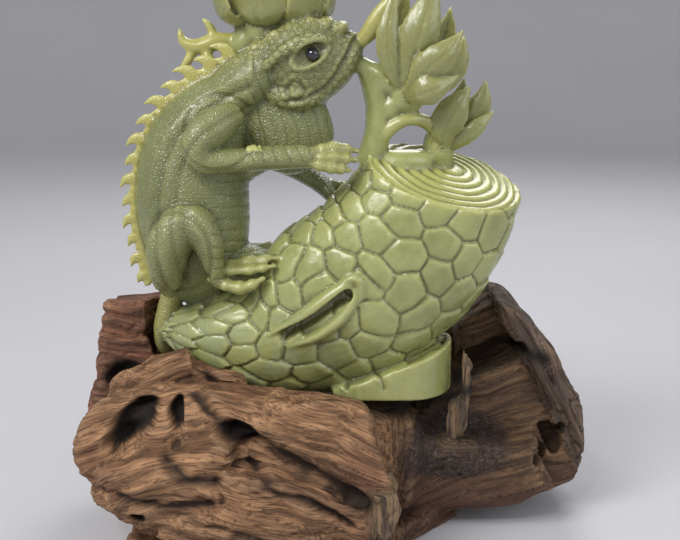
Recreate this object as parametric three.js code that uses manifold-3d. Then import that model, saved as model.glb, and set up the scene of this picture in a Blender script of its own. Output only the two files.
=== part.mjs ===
// A green serpentine jade carving of a crested lizard climbing a cut trunk with
// open blossoms, standing in a hollow cut into a stand of gnarled root wood.
// Millimetres, +Z up, the viewer looks along +Y. The origin is the middle of the
// stand's flat underside. The carving is one stone; the two eyes are set-in beads.
import * as THREE from "three";
import { mergeVertices } from "three/addons/utils/BufferGeometryUtils.js";
import Module from "manifold-3d";

const wasm = await Module();
wasm.setup();

// Driving dimensions
const CARVING_HEIGHT = 236; // from the seat up to the highest petal
const STAND_LENGTH = 294; // the root wood, left to right
const SEAT_HEIGHT = 74; // from the table up to the carving's flat foot
const DRAWN_SEAT_HEIGHT = 74; // the seat that the root's own heights are drawn for
const SEAT_GAP = 0.5; // air between the stone and the hollow that holds it
const EYE_DIAMETER = 6.6;
const EYE_STAND_OUT = 1.9; // how far a bead shows outside its eyelids
const EYE_GAP = 0.3; // air round a bead in its drilled socket
const PLATE_RELIEF = 1.7; // depth of the grooves between the bark plates
const PLATES_ACROSS = 7; // bark plates over the trunk's near side
const PLATE_ROWS = 9; // bark plates along the trunk
const RING_COUNT = 4; // growth rings cut into the sawn top
const RING_GROOVE = 1.4; // depth of a growth-ring groove
const PETAL_THICKNESS = 3.4;
const SPINE_COUNT = 14; // spines of the back crest
const SPINE_HEIGHT = 10;
const FOOT_THICKNESS = 29; // the plain wedge under the trunk, at its thick end
const TOE_THICKNESS = 6.2;
const FINEST_FACET = 0.6; // slivers smaller than this are smoothed away where forms meet

// The carving is drawn at a height of 236 mm and the stand at a length of 294 mm,
// so a drawn point is a share of that height or length. The root rises with the seat.
const DRAWN_HEIGHT = 236;
const DRAWN_LENGTH = 294;
const carving = CARVING_HEIGHT / DRAWN_HEIGHT;
const wood = STAND_LENGTH / DRAWN_LENGTH;
const rise = SEAT_HEIGHT / DRAWN_SEAT_HEIGHT;
const NEAR = new THREE.Vector3(0, -1, 0);
const FAR = new THREE.Vector3(0, 1, 0);

// Turns a closed three.js geometry into a solid that can be joined and cut.
function solid(geometry) {
  const bare = new THREE.BufferGeometry();
  bare.setAttribute("position", geometry.getAttribute("position").clone());
  if (geometry.index) bare.setIndex(geometry.index.clone());
  const merged = mergeVertices(bare, 1e-4);
  return new wasm.Manifold(
    new wasm.Mesh({
      numProp: 3,
      vertProperties: merged.attributes.position.array,
      triVerts: new Uint32Array(merged.index.array),
    }),
  );
}

function joined(solids) {
  return solids.reduce((sum, next) => sum.add(next));
}

// Turns a solid back into a geometry for a mesh.
function geometryOf(shape) {
  const mesh = shape.getMesh();
  const geometry = new THREE.BufferGeometry();
  geometry.setAttribute("position", new THREE.BufferAttribute(mesh.vertProperties, 3));
  geometry.setIndex(new THREE.BufferAttribute(mesh.triVerts, 1));
  const flat = geometry.toNonIndexed();
  flat.computeVertexNormals();
  return flat;
}

function box(x, y, z, centre, turn = [0, 0, 0]) {
  const geometry = new THREE.BoxGeometry(x, y, z);
  const place = new THREE.Matrix4().makeRotationFromEuler(new THREE.Euler(...turn));
  place.setPosition(...centre);
  return solid(geometry.applyMatrix4(place));
}

// A ball drawn out along a curve. Each point is [x, y, z, half width, half depth];
// the depth runs along the direction called face. Blunt is near 0 for square ends
// and 1 for an egg. Cup bends the two sides back from the face, as in a petal.
function drawnOut(points, unit, options = {}) {
  const { sides = 8, rings = 8, face = NEAR, blunt = 0.35, cup = 0, relief } = options;
  const line = new THREE.CatmullRomCurve3(
    points.map(([x, y, z]) => new THREE.Vector3(x, y, z).multiplyScalar(unit)),
    false,
    "centripetal",
  );
  const sizes = new THREE.CatmullRomCurve3(
    points.map(([, , , w, d]) => new THREE.Vector3(w, d, 0).multiplyScalar(unit)),
    false,
    "catmullrom",
  );
  const ball = new THREE.SphereGeometry(1, sides, rings);
  const spots = ball.getAttribute("position");
  for (let i = 0; i < spots.count; i++) {
    const ring = Math.floor(i / (sides + 1));
    const pole = ring === 0 || ring === rings;
    const column = (i % (sides + 1)) % sides;
    const shift = relief && !pole ? relief(ring, column) : { along: 0, round: 0, out: 0 };
    const fall = Math.acos(THREE.MathUtils.clamp(spots.getY(i), -1, 1)) / Math.PI;
    const t = THREE.MathUtils.clamp(fall + shift.along, 0, 1);
    const end = pole ? 0 : Math.sin(Math.PI * t) ** blunt;
    const turn = pole ? 0 : Math.atan2(spots.getZ(i), spots.getX(i)) + shift.round;
    const across = Math.cos(turn);
    const deep = Math.sin(turn);
    const size = sizes.getPoint(t);
    const along = line.getTangent(t);
    const depth = face.clone().addScaledVector(along, -face.dot(along)).normalize();
    const side = depth.clone().cross(along);
    const spot = line
      .getPoint(t)
      .addScaledVector(side, across * (size.x * end + shift.out * (pole ? 0 : 1)))
      .addScaledVector(depth, deep * (size.y * end + shift.out) - cup * across * across * size.x * end);
    spots.setXYZ(i, spot.x, spot.y, spot.z);
  }
  return solid(ball);
}

// The trunk
const TRUNK = [
  [-101, 2, 33, 6, 8],
  [-89, 1, 32, 17, 15],
  [-70, 0, 29, 26, 22],
  [-38, 0, 29, 38, 28],
  [-4, 0, 47, 49, 33],
  [20, 0, 63, 49, 36],
  [38, 0, 82, 49, 36],
  [51, 0, 102, 47, 34],
  [60, 0, 122, 45, 32],
  [67, 0, 144, 43, 31],
  [73, 0, 168, 41, 31],
];
const FACE_CENTRE = [55, 0, 119.7];
const FACE_TURN = [0.39, 0.268, 0]; // leans towards the viewer and to the right

// Staggered plates. Every third ring and every fourth column of the near side is a
// groove; the neighbours close up on it, so that a groove is narrow and a plate wide.
// The grooves between two rows zigzag, which makes the plates six-sided.
const COLUMNS_A_PLATE = 4;
const PLAIN_COLUMNS = 4; // the hidden far side has no plates
const RINGS_A_ROW = 3;
const COLUMNS = PLATES_ACROSS * COLUMNS_A_PLATE + PLAIN_COLUMNS;
const NEAR_SHARE = 0.56; // the share of the way round that carries plates
function plates(ring, column) {
  const plated = PLATES_ACROSS * COLUMNS_A_PLATE;
  const step = (2 * Math.PI * NEAR_SHARE) / plated;
  const farStep = (2 * Math.PI * (1 - NEAR_SHARE)) / PLAIN_COLUMNS;
  const turned = step * Math.min(column, plated) + farStep * Math.max(0, column - plated);
  const even = (2 * Math.PI * column) / COLUMNS;
  const round = even - turned + Math.PI * (NEAR_SHARE - 0.5);
  if (column > plated) return { along: 0, round, out: -PLATE_RELIEF / 2 };
  const row = Math.floor(ring / RINGS_A_ROW);
  const part = ring % RINGS_A_ROW;
  const place = (column + 2 * (row % 2)) % COLUMNS_A_PLATE;
  const zigzag = [0.32, 0, -0.32, 0][place];
  const waver = Math.sin(column * 1.7 + row * 2.3);
  const along = [zigzag, zigzag - 0.45, 0.45 - zigzag][part] + 0.06 * waver;
  const sideways = (part === 0 ? 0 : [0, -0.5, 0, 0.5][place]) + 0.1 * waver;
  const out = part === 0 || place === 0 ? -PLATE_RELIEF : 0;
  return { along: along / (PLATE_ROWS * RINGS_A_ROW), round: round - sideways * step, out };
}

function onFace(shape) {
  return shape
    .rotate(FACE_TURN.map((turn) => THREE.MathUtils.radToDeg(turn)))
    .translate(FACE_CENTRE.map((value) => value * carving));
}

function trunk() {
  const log = drawnOut(TRUNK, carving, {
    sides: COLUMNS,
    rings: PLATE_ROWS * RINGS_A_ROW,
    blunt: 0.2,
    relief: plates,
  });
  const above = 150 * carving;
  const block = box(2 * above, 2 * above, above, [0, 0, above / 2]);
  const saw = onFace(block);
  const grooves = [];
  for (let i = 0; i < RING_COUNT; i++) {
    const share = (i + 0.9) / (RING_COUNT + 0.7);
    const profile = [[-1.1, 1], [0, -RING_GROOVE], [1.1, 1], [-1.1, 1]];
    const radius = 46 * share * carving;
    const section = profile.map(([x, y]) => new THREE.Vector2(radius + x, y));
    const groove = new THREE.LatheGeometry(section, 12);
    groove.rotateX(Math.PI / 2);
    groove.scale(1, 0.88, 1);
    const off = (1 - share) * carving;
    grooves.push(solid(groove).translate([7 * off, 11 * off, 0]));
  }
  return log.subtract(saw).subtract(onFace(joined(grooves)));
}

// The knothole: two long lips round a slot that runs up the trunk's near side.
const UPPER_LIP = [[-47, -20, 31, 2, 4], [-21, -31, 47, 4, 5], [0, -33, 63, 4, 5], [9, -33, 67, 3, 4]];
const LOWER_LIP = [[-38, -22, 26, 2, 4], [-11, -31, 38, 3, 5], [5, -33, 53, 3.5, 5], [9, -33, 67, 3, 4]];
const SLOT = [[-31, -30, 35, 1.5, 8], [-13, -34, 47, 3, 9], [3, -35, 60, 2.5, 8]];
function knotholeLips() {
  return joined([
    drawnOut(UPPER_LIP, carving, { sides: 6, rings: 6 }),
    drawnOut(LOWER_LIP, carving, { sides: 6, rings: 6 }),
  ]);
}
function knotholeSlot() {
  return drawnOut(SLOT, carving, { sides: 6, rings: 5 });
}

// The plain wedge under the trunk's thick end. Its flat underside is what the
// carving stands on, and its rounded end shows below the trunk.
function foot() {
  const plan = new THREE.Shape();
  const [left, right, near, far] = [-4, 62, -29, 27];
  const round = right - 26;
  const halfDepth = (far - near) / 2;
  const middle = near + halfDepth;
  const quarter = Math.PI / 2;
  plan.moveTo(left * carving, (near + 9) * carving);
  plan.lineTo((left + 14) * carving, near * carving);
  plan.lineTo(round * carving, near * carving);
  plan.absellipse(round * carving, middle * carving, 26 * carving, halfDepth * carving, -quarter, quarter);
  plan.lineTo(left * carving, far * carving);
  plan.closePath();
  const settings = { depth: FOOT_THICKNESS, bevelEnabled: false, curveSegments: 9 };
  const slab = solid(new THREE.ExtrudeGeometry(plan, settings));
  const above = 60 * carving;
  const slope = box(4 * above, 3 * above, above, [0, 0, 0], [0, -0.36, 0]);
  return slab.subtract(slope.translate([14 * carving, 0, 9 * carving + above * 0.53]));
}

// The lizard
function body() {
  return joined([
    drawnOut(
      [[-38, 4, 170, 16, 16], [-60, 4, 156, 23.5, 21], [-76, 4, 134, 29, 25], [-80, 4, 110, 30.5, 27],
        [-79, 4, 85, 31, 26], [-78, 4, 62, 28, 22], [-74, 4, 45, 21, 16]],
      carving,
      { sides: 11, rings: 8, blunt: 0.4 },
    ),
    drawnOut(
      [[-22, 3, 170, 22, 14], [-28, 3, 151, 26, 13], [-31, 3, 134, 26, 13], [-36, 3, 120, 17, 13]],
      carving,
      { sides: 8, rings: 6, blunt: 0.3 },
    ),
    drawnOut(
      [[-22, 3, 182, 11, 14], [-38, 3, 175, 14, 17], [-54, 4, 163, 16, 19], [-67, 4, 149, 19, 22]],
      carving,
      { sides: 8, rings: 5, blunt: 0.4 },
    ),
    drawnOut(
      [[-66, 2, 72, 16, 16], [-46, 2, 66, 13, 15], [-26, 2, 68, 9, 13]],
      carving,
      { sides: 7, rings: 4, blunt: 0.3 },
    ),
  ]);
}

const HEAD_PLATES = [[-50, 181, 7], [-39, 190, 7], [-27, 196, 7], [-15, 199, 6.5], [-4, 198, 6.5]];
function head() {
  const parts = [
    drawnOut(
      [[-50, 3, 169, 15, 16], [-34, 3, 174, 22, 20], [-20, 3, 178, 23.5, 21], [-7, 3, 183, 20.5, 18],
        [3, 3, 188, 14, 13], [9, 3, 193, 9, 9]],
      carving,
      { sides: 10, rings: 8, blunt: 0.45 },
    ),
    drawnOut(
      [[-12, 3, 158, 7, 13], [0, 3, 171, 6, 12], [7, 3, 182, 5, 10], [11.5, 3, 189, 3.5, 7]],
      carving,
      { sides: 7, rings: 5 },
    ),
    drawnOut(
      [[-44, 3, 165, 8, 15], [-33, 3, 161, 10, 17], [-20, 3, 161, 11, 17], [-9, 3, 164, 7.5, 14],
        [0, 3, 172, 5, 11]],
      carving,
      { sides: 8, rings: 6 },
    ),
  ];
  for (const side of [-1, 1]) {
    const face = side < 0 ? NEAR : FAR;
    const y = (depth) => 3 + side * depth;
    parts.push(
      drawnOut(
        [[-42, y(15), 173, 3, 3], [-28, y(19), 184, 3.5, 4], [-15, y(19), 189, 3.2, 4],
          [-5, y(15), 189, 2.5, 3]],
        carving,
        { sides: 5, rings: 5, face },
      ),
    );
  }
  const cheekScale = [[-31, -10, 162, 4, 5], [-26, -12, 163, 6, 6], [-21, -11, 164, 4, 5]];
  parts.push(drawnOut(cheekScale, carving, { sides: 5, rings: 4, blunt: 0.6 }));
  for (const [x, z, r] of HEAD_PLATES) {
    const low = [x - r, 3, z - r * 0.4, r * 0.6, r];
    const high = [x + r, 3, z + r * 0.4, r * 0.6, r];
    const middle = [x, 3, z, r * 0.7, r * 1.6];
    parts.push(drawnOut([low, middle, high], carving, { sides: 5, rings: 4, blunt: 0.4 }));
  }
  return joined(parts);
}

// The near and the far limbs lie on either side of the body's middle plane.
const BODY_MIDDLE = 4;
const toe = TOE_THICKNESS / 2 / carving;
function toes(lines, face) {
  return lines.map((line) => drawnOut(line, carving, { sides: 5, rings: 3, face, blunt: 0.3 }));
}
function nearForeleg() {
  return joined([
    drawnOut(
      [[-51, -15, 153, 9, 11], [-62, -22, 147.5, 13, 13], [-72, -27, 138, 10.5, 12],
        [-70, -27, 130, 7.4, 10], [-54, -26, 129, 6.3, 8], [-33, -23, 130, 6.8, 8],
        [-14, -20, 130, 7.2, 7.5], [-3, -16, 128, 6, 7]],
      carving,
      { sides: 8, rings: 10, blunt: 0.3 },
    ),
    ...toes(
      [
        [[-18, -21, 132, toe, 4], [-3, -19, 135, toe, 4], [11, -13, 132, toe * 0.7, 3]],
        [[-18, -23, 130, toe, 4], [-3, -22, 130, toe, 4], [10, -17, 128, toe * 0.7, 3]],
        [[-18, -23, 128, toe * 1.2, 4], [-4, -23, 125, toe * 1.1, 4], [6, -20, 123, toe * 0.8, 3]],
      ],
      NEAR,
    ),
  ]);
}
function farForeleg() {
  return joined([
    drawnOut(
      [[-66, 12, 150, 12, 11], [-48, 22, 133, 10, 9], [-24, 25, 119, 6.3, 8], [-10, 21, 110, 5.6, 7],
        [-2, 12, 101, 5.5, 6]],
      carving,
      { sides: 7, rings: 7, face: FAR, blunt: 0.3 },
    ),
    ...toes(
      [
        [[-16, 21, 114, toe, 4], [2, 27, 109, toe, 4], [12, 31, 108, toe * 0.7, 3]],
        [[-15, 21, 111, toe, 4], [1, 26, 101, toe, 4], [8, 31, 97, toe * 0.7, 3]],
      ],
      FAR,
    ),
  ]);
}

function hindLeg(side) {
  const face = side < 0 ? NEAR : FAR;
  const fine = side < 0 ? 2 : 0; // the hidden leg is plainer
  const y = (depth) => BODY_MIDDLE + side * depth;
  return joined([
    drawnOut(
      [[-92, y(12), 53, 8, 9], [-92, y(22), 69, 10.6, 12], [-89, y(27), 85, 12, 13],
        [-82, y(29), 96, 12, 12], [-73, y(29), 99, 9, 10]],
      carving,
      { sides: 6 + fine, rings: 5 + fine, face, blunt: 0.4 },
    ),
    drawnOut(
      [[-86, y(29), 100, 9, 9], [-76, y(30), 96.5, 11, 10], [-69.5, y(30), 88, 8.8, 9],
        [-67, y(28), 77, 7, 8], [-64, y(24), 60, 6, 7]],
      carving,
      { sides: 5 + fine, rings: 5 + fine, face, blunt: 0.35 },
    ),
    ...toes(
      [
        [[-71, y(20), 70, toe, 4], [-48, y(19), 74, toe * 0.9, 4], [-30, y(20), 76.5, toe * 0.6, 3]],
        [[-71, y(23), 70, toe, 4], [-47, y(24), 70.5, toe * 0.9, 4], [-33, y(25), 73, toe * 0.6, 3]],
        [[-71, y(23), 66, toe * 1.2, 5], [-52, y(27), 61.5, toe * 1.15, 5], [-39, y(27), 67, toe * 0.7, 4]],
      ],
      face,
    ),
  ]);
}

const TAIL = [[-88, 4, 62, 13, 14], [-95, 4, 46, 8, 11], [-99, 5, 31, 6, 9], [-97, 17, 17, 6, 8],
  [-76, 29, 13, 6, 6], [-46, 34, 22, 5.5, 5], [-21, 38, 41, 4.5, 5], [-4, 38, 62, 3, 4]];
function tail() {
  return drawnOut(TAIL, carving, { sides: 7, rings: 13, blunt: 0.3 });
}

// The crest is a thin ridge along the back that carries hooked spines, every second
// one smaller than its neighbours.
function crest() {
  const line = [[-52, 3, 178], [-66, 3, 172], [-83, 3, 161], [-96, 3, 147], [-104, 3, 131], [-109, 3, 107],
    [-108, 3, 80], [-104, 3, 58]];
  const spots = line.map(([x, y, z]) => new THREE.Vector3(x, y, z).multiplyScalar(carving));
  const back = new THREE.CatmullRomCurve3(spots);
  const ridge = line.map(([x, y, z]) => [x, y, z, 4, 2.4]);
  const parts = [drawnOut(ridge, carving, { sides: 4, rings: 8, blunt: 0.25 })];
  for (let i = 0; i < SPINE_COUNT; i++) {
    const t = (i + 0.5) / SPINE_COUNT;
    const root = back.getPointAt(t);
    const along = back.getTangentAt(t);
    const out = new THREE.Vector3(along.z, 0, -along.x);
    const lift = SPINE_HEIGHT * (1.05 - 0.55 * t) * (i % 2 ? 0.8 : 1);
    const spot = (o, a, wide, thick) => {
      const place = root.clone().addScaledVector(out, o).addScaledVector(along, a).toArray();
      return [...place, wide * carving, thick * carving];
    };
    const points = [spot(0, 0, 4.6, 2.2), spot(lift * 0.6 + 2, 0, 3.6, 1.5)];
    points.push(spot(lift + 2, lift * 0.6, 0.8, 0.6));
    parts.push(drawnOut(points, 1, { sides: 4, rings: 3, blunt: 0.3 }));
  }
  return joined(parts);
}

// Blossoms. A petal is a thin cupped leaf from its foot to its tip.
const half = PETAL_THICKNESS / 2 / carving;
const HEART = { sides: 8, rings: 5 };
function petal(points, face = NEAR, cup = 0.35) {
  const leaf = points.map(([x, y, z, w]) => [x, y, z, w, half]);
  return drawnOut(leaf, carving, { sides: face === NEAR ? 6 : 4, rings: 4, face, blunt: 0.4, cup });
}

// The great open blossom at the upper right, behind and beside the lizard's snout.
function openBlossom() {
  return joined([
    petal([
      [32, -4, 161, 2.4], [27, -9, 174, 5.4], [24.5, -10, 188, 6.2], [26, -8, 203, 5], [31, -4, 222, 1.6],
    ]),
    petal([
      [33, -5, 162, 3.2], [37, -11, 179, 7.8], [41.5, -12, 194, 10], [46, -9, 208, 7.4], [50, -5, 223, 1.8],
    ]),
    petal([[33, -8, 162, 2.4], [42, -16, 172.5, 7.2], [53, -18, 182, 7.6], [64, -11, 195, 1.6]]),
    petal([[33, -4, 159, 4.5], [40, -17, 161.5, 6.6], [49, -19, 165, 7], [63, -10, 172, 2]]),
    petal([[38, -1, 160, 6], [56, -5, 170, 7.3], [63, -3, 181, 5.4], [65, -2, 193, 1.6]]),
    petal([[38, 6, 163, 4.3], [50, 12, 179, 9.2], [56, 12, 192, 7.2], [59, 8, 208, 1.6]], FAR),
    petal([[34, 5, 163, 4.3], [30, 12, 179, 8.4], [31, 13, 198, 8], [37, 9, 220, 2.1]], FAR),
    petal([[36, 8, 162, 4.3], [44, 17, 178, 8.7], [52, 18, 191, 7.6], [61, 12, 204, 1.6]], FAR),
    drawnOut([[27, 2, 153, 7, 8], [35, 1, 160, 10, 9], [45, 0, 168, 9, 8]], carving, HEART),
  ]);
}

// The half-open bud that sits on the trunk's sawn top.
function bud() {
  return joined([
    petal([[55, 6, 127, 5.4], [56, -1, 143, 8.8], [61.5, -3, 154.5, 8.8], [69.5, 2, 166, 3.2]]),
    petal([[56, 9, 129, 4.4], [68, 2, 139, 5], [76, 3, 146, 3.9], [84, 8, 153, 1.2]]),
    petal([[57, 12, 134, 5], [70, 9, 147, 8], [76.5, 9, 157.5, 6.4], [79, 11, 169.5, 2]]),
    petal([[61, 16, 131, 4.4], [62, 21, 146, 8.3], [66, 21, 158, 6.8], [68, 17, 170, 1.6]], FAR),
    drawnOut([[56, 14, 118, 9.5, 10], [54, 11, 135, 8.5, 9], [61, 9, 148, 8, 8]], carving, HEART),
  ]);
}

// The blossom above the lizard's neck: petals in two rows round an upright axis.
const CROWN_AXIS = [-35, 16, 193];
const CROWN_ROWS = [
  { count: 6, foot: 8, belly: 34, tip: 37, rise: 43, width: 17, turn: 0.25 },
  { count: 3, foot: 4, belly: 17, tip: 11, rise: 42.5, width: 12, turn: 0.9 },
];
function crownBlossom() {
  const heart = [[-49, 15, 182, 8, 8], [-42, 15, 193, 14, 13], [-36, 15, 205, 15, 14]];
  const parts = [drawnOut(heart, carving, { sides: 8, rings: 4 })];
  for (const row of CROWN_ROWS)
    for (let i = 0; i < row.count; i++) {
      const turn = row.turn + (2 * Math.PI * i) / row.count;
      const out = new THREE.Vector3(Math.cos(turn), Math.sin(turn) * 0.72, 0);
      const place = (radius, up, width) => [
        CROWN_AXIS[0] + out.x * radius,
        CROWN_AXIS[1] + out.y * radius,
        CROWN_AXIS[2] + up,
        width * row.width,
      ];
      const low = [place(row.foot, 1, 0.7), place(row.belly * 0.84, row.rise * 0.17, 1)];
      const high = [place(row.belly, row.rise * 0.55, 0.9), place(row.tip, row.rise, 0.2)];
      parts.push(petal([...low, ...high], out.clone().normalize()));
    }
  return joined(parts);
}

function stems() {
  const branches = [
    [[14, 3, 122, 13, 13], [20, 4, 139, 8.6, 11], [21, 5, 154, 7.6, 10], [19, 5, 165, 7.6, 9],
      [14, 4, 174, 7, 8], [5, 3, 180, 5, 7]],
    [[20, 5, 147, 6, 9], [28, 3, 155, 7, 9], [34, 1, 162, 6, 8]],
    [[13, 3, 177, 5, 6], [22, 2, 170, 5.6, 7], [30, 1, 160, 5, 7]],
    [[7, 2, 184, 4, 4], [15, 1, 193, 5, 4], [23, 0, 203, 6, 4], [34, -1, 219, 3, 3]],
    [[20, 0, 135, 5.5, 7], [29, -2, 145, 4.2, 5], [36, -2, 148, 3.4, 4], [45, 4, 147, 4.4, 6],
      [53, 9, 140, 6, 7]],
    [[20, 2, 127, 8, 9], [34, 3, 130, 7, 8], [50, 8, 130, 8, 9]],
    [[-56, 10, 160, 10, 10], [-55, 15, 176, 8.6, 9], [-50, 15, 189, 9, 10], [-42, 15, 198, 11, 11]],
    [[-50, 15, 189, 6, 6], [-67, 13, 188.5, 5.6, 5.5], [-77, 12, 186, 4.4, 5], [-84, 11, 189, 3.2, 4],
      [-86, 10, 196, 1.8, 3]],
    [[-74, 12, 186, 3.2, 4], [-69, 9, 178, 3, 4], [-62, 5, 170, 4, 5]],
    [[-78, 12, 186, 3.2, 4], [-82, 11, 178, 2.6, 3.5], [-87, 10, 172, 1.5, 2.5]],
  ];
  return joined(
    branches.map((line) => {
      const sides = line.length > 4 ? 7 : 6;
      return drawnOut(line, carving, { sides, rings: line.length + 2, blunt: 0.3 });
    }),
  );
}

// Beads of black stone in drilled sockets, one on each side of the head.
const EYE_PLACE = [-14, 3, 182];
const HEAD_HALF_DEPTH = 20.4;
function eyeCentre(side) {
  const [x, y, z] = EYE_PLACE;
  const depth = HEAD_HALF_DEPTH * carving + EYE_STAND_OUT - EYE_DIAMETER / 2;
  return new THREE.Vector3(x * carving, y * carving + side * depth, z * carving);
}
function bead(side, radius) {
  const ball = new THREE.SphereGeometry(radius, 10, 7);
  const { x, y, z } = eyeCentre(side);
  return solid(ball.translate(x, y, z));
}

function jade() {
  const stone = joined([
    trunk(), knotholeLips(), foot(), body(), head(), nearForeleg(), farForeleg(), hindLeg(-1), hindLeg(1),
    tail(), crest(), openBlossom(), bud(), crownBlossom(), stems(),
  ]);
  const sockets = joined([bead(-1, EYE_DIAMETER / 2 + EYE_GAP), bead(1, EYE_DIAMETER / 2 + EYE_GAP)]);
  return stone.subtract(knotholeSlot()).simplify(FINEST_FACET).subtract(sockets);
}

// The room that the stand leaves for the carving: the lower forms, each a little
// larger, without the grooves of the bark.
function seatRoom() {
  const more = (SEAT_GAP + 0.6) / carving;
  const fuller = (points, extra) => points.map(([x, y, z, w, d]) => [x, y, z, w + extra, d + extra]);
  const parts = [
    drawnOut(fuller(TRUNK, more + 2.6), carving, { sides: 16, rings: 12, blunt: 0.15 }),
    drawnOut(fuller(TAIL, more + 5.5), carving, { sides: 6, rings: 10, blunt: 0.15 }),
    drawnOut(
      [[-92, 4, 42, 22, 40], [-93, 4, 73, 22, 42], [-80, 4, 100, 24, 42]],
      carving,
      { sides: 7, rings: 4, blunt: 0.2 },
    ),
    box(72 * carving, 62 * carving, 60 * carving, [30 * carving, -1, 30 * carving - SEAT_GAP]),
  ];
  return joined(parts).translate([0, 0, SEAT_HEIGHT]);
}

// The stand: lobes and splinters of one root, sawn flat below and at its ends.
function lobe(points, { sides = 12, rings = 10, blunt = 0.2, rough = 1.6, face = NEAR } = {}) {
  const relief = (ring, column) => ({
    along: 0,
    round: 0,
    out: rough * wood * (Math.sin(column * 2.6 + ring * 0.35) + 0.7 * Math.sin(ring * 2.2 + column)),
  });
  return drawnOut(points, wood, { sides, rings, blunt, face, relief });
}
// A board with the given outline in the picture plane, from the near to the far side.
function board(outline, near, far, chamfer = 2) {
  const shape = new THREE.Shape(outline.map(([x, z]) => new THREE.Vector2(x * wood, z * wood)));
  const edge = chamfer * wood;
  const slab = new THREE.ExtrudeGeometry(shape, {
    depth: (far - near) * wood - 2 * edge,
    bevelEnabled: true,
    bevelThickness: edge,
    bevelSize: edge,
    bevelOffset: -edge,
    bevelSegments: 1,
  });
  slab.rotateX(Math.PI / 2);
  slab.translate(0, far * wood - edge, 0);
  return solid(slab);
}
function frontLobe() {
  const root = joined([
    lobe(
      [[-140, -44, 44, 14, 24], [-122, -50, 52, 34, 34], [-80, -56, 52, 42, 38], [-30, -58, 50, 42, 38],
        [10, -60, 44, 44, 36], [60, -62, 36, 42, 34]],
      { sides: 11, rings: 9 },
    ),
    lobe(
      [[-128, -30, 62, 12, 20], [-100, -26, 80, 18, 20], [-72, -22, 88, 18, 16], [-44, -38, 72, 14, 12]],
      { rings: 5, sides: 6 },
    ),
    lobe(
      [[-94, -84, 22, 12, 8], [-60, -88, 36, 15, 12], [-24, -88, 28, 13, 12], [2, -84, 14, 8, 10]],
      { rings: 5, sides: 6 },
    ),
  ]);
  const outline = board(
    [[-120, 84], [-117, 89], [-102, 97], [-95, 101], [-80, 103], [-79, 98], [-66, 92], [-26, 87], [7, 86],
      [12, 83], [20, 64], [30, 39], [25, 26], [13, 14], [10, -4], [-92, -4], [-110, 20], [-124, 36],
      [-121, 50], [-128, 57], [-133, 66]],
    -120, 14, 1,
  );
  const hollows = [
    lobe(
      [[-116, -92, 62, 6, 14], [-104, -92, 74, 10, 22], [-92, -84, 85, 5, 14]],
      { rings: 4, sides: 6, rough: 0.8 },
    ),
    lobe(
      [[-80, -96, 70, 4, 14], [-80, -92, 80, 5.5, 18], [-83, -84, 88, 4, 12]],
      { rings: 4, sides: 5, rough: 0.6 },
    ),
    lobe(
      [[-62, -98, 64, 8, 16], [-44, -98, 66, 10, 24], [-14, -98, 56, 6, 18], [26, -96, 34, 4, 14]],
      { rings: 6, sides: 6, rough: 0.8 },
    ),
    lobe(
      [[-80, -78, 96, 2, 12], [-66, -88, 84, 2.5, 14], [-54, -96, 74, 2, 12]],
      { rings: 3, sides: 4, rough: 0.2 },
    ),
  ];
  return hollows.reduce((left, next) => left.subtract(next), root.intersect(outline));
}
function backLobes() {
  const root = joined([
    lobe(
      [[-112, 28, 30, 28, 26], [-60, 38, 34, 34, 34], [0, 42, 36, 36, 38], [60, 40, 32, 32, 34],
        [100, 34, 28, 26, 28]],
      { rings: 5, sides: 8 },
    ),
    lobe(
      [[-100, -10, 36, 38, 30], [-40, -10, 36, 38, 36], [20, -10, 36, 38, 38], [70, 0, 30, 28, 34]],
      { rings: 4, sides: 6 },
    ),
    board(
      [[-131, 120], [-105, 122], [-96, 119], [-92, 96], [-84, 84], [-84, 24], [-118, 24], [-144, 52],
        [-138, 84], [-135, 99]],
      2, 36, 4,
    ),
    board([[75, 112], [90, 122], [103, 110], [110, 92], [110, 20], [40, 20], [50, 84]], 14, 52, 3),
    board(
      [[87, 123], [95, 121], [111, 104], [122, 90], [129, 78], [135, 68], [137, 50], [138, 32], [133, 20],
        [120, 15], [104, 14], [114, 36], [118, 62], [100, 96], [89, 112]],
      -10, 46, 1.5,
    ),
    board([[60, 78], [76, 86], [101, 94], [120, 68], [121, 36], [97, 24], [40, 20], [44, 60]], -4, 50, 3),
    board(
      [[30, 55], [49, 50], [91, 46], [108, 50], [112, 34], [118, 22], [89, 12], [50, 8], [20, 4], [16, 30]],
      -30, 40, 5,
    ),
    lobe(
      [[60, -22, 44, 8, 6], [64, -22, 64, 6, 5], [66, -20, 84, 6, 5], [67, -18, 102, 6, 5]],
      { rings: 5, sides: 6, rough: 0.6 },
    ),
  ]);
  const hollows = [
    lobe(
      [[-134, 0, 70, 7, 12], [-121, -2, 79, 11, 18], [-108, 0, 86, 7, 12]],
      { rings: 4, sides: 6, rough: 0.8 },
    ),
    board([[64, 76], [82, 83], [104, 94], [101, 101], [80, 93], [64, 86]], -20, 24, 0.5),
    board([[110, 53], [126, 53], [121, 34]], -60, 6, 0.5),
  ];
  return hollows.reduce((left, next) => left.subtract(next), root);
}
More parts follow.
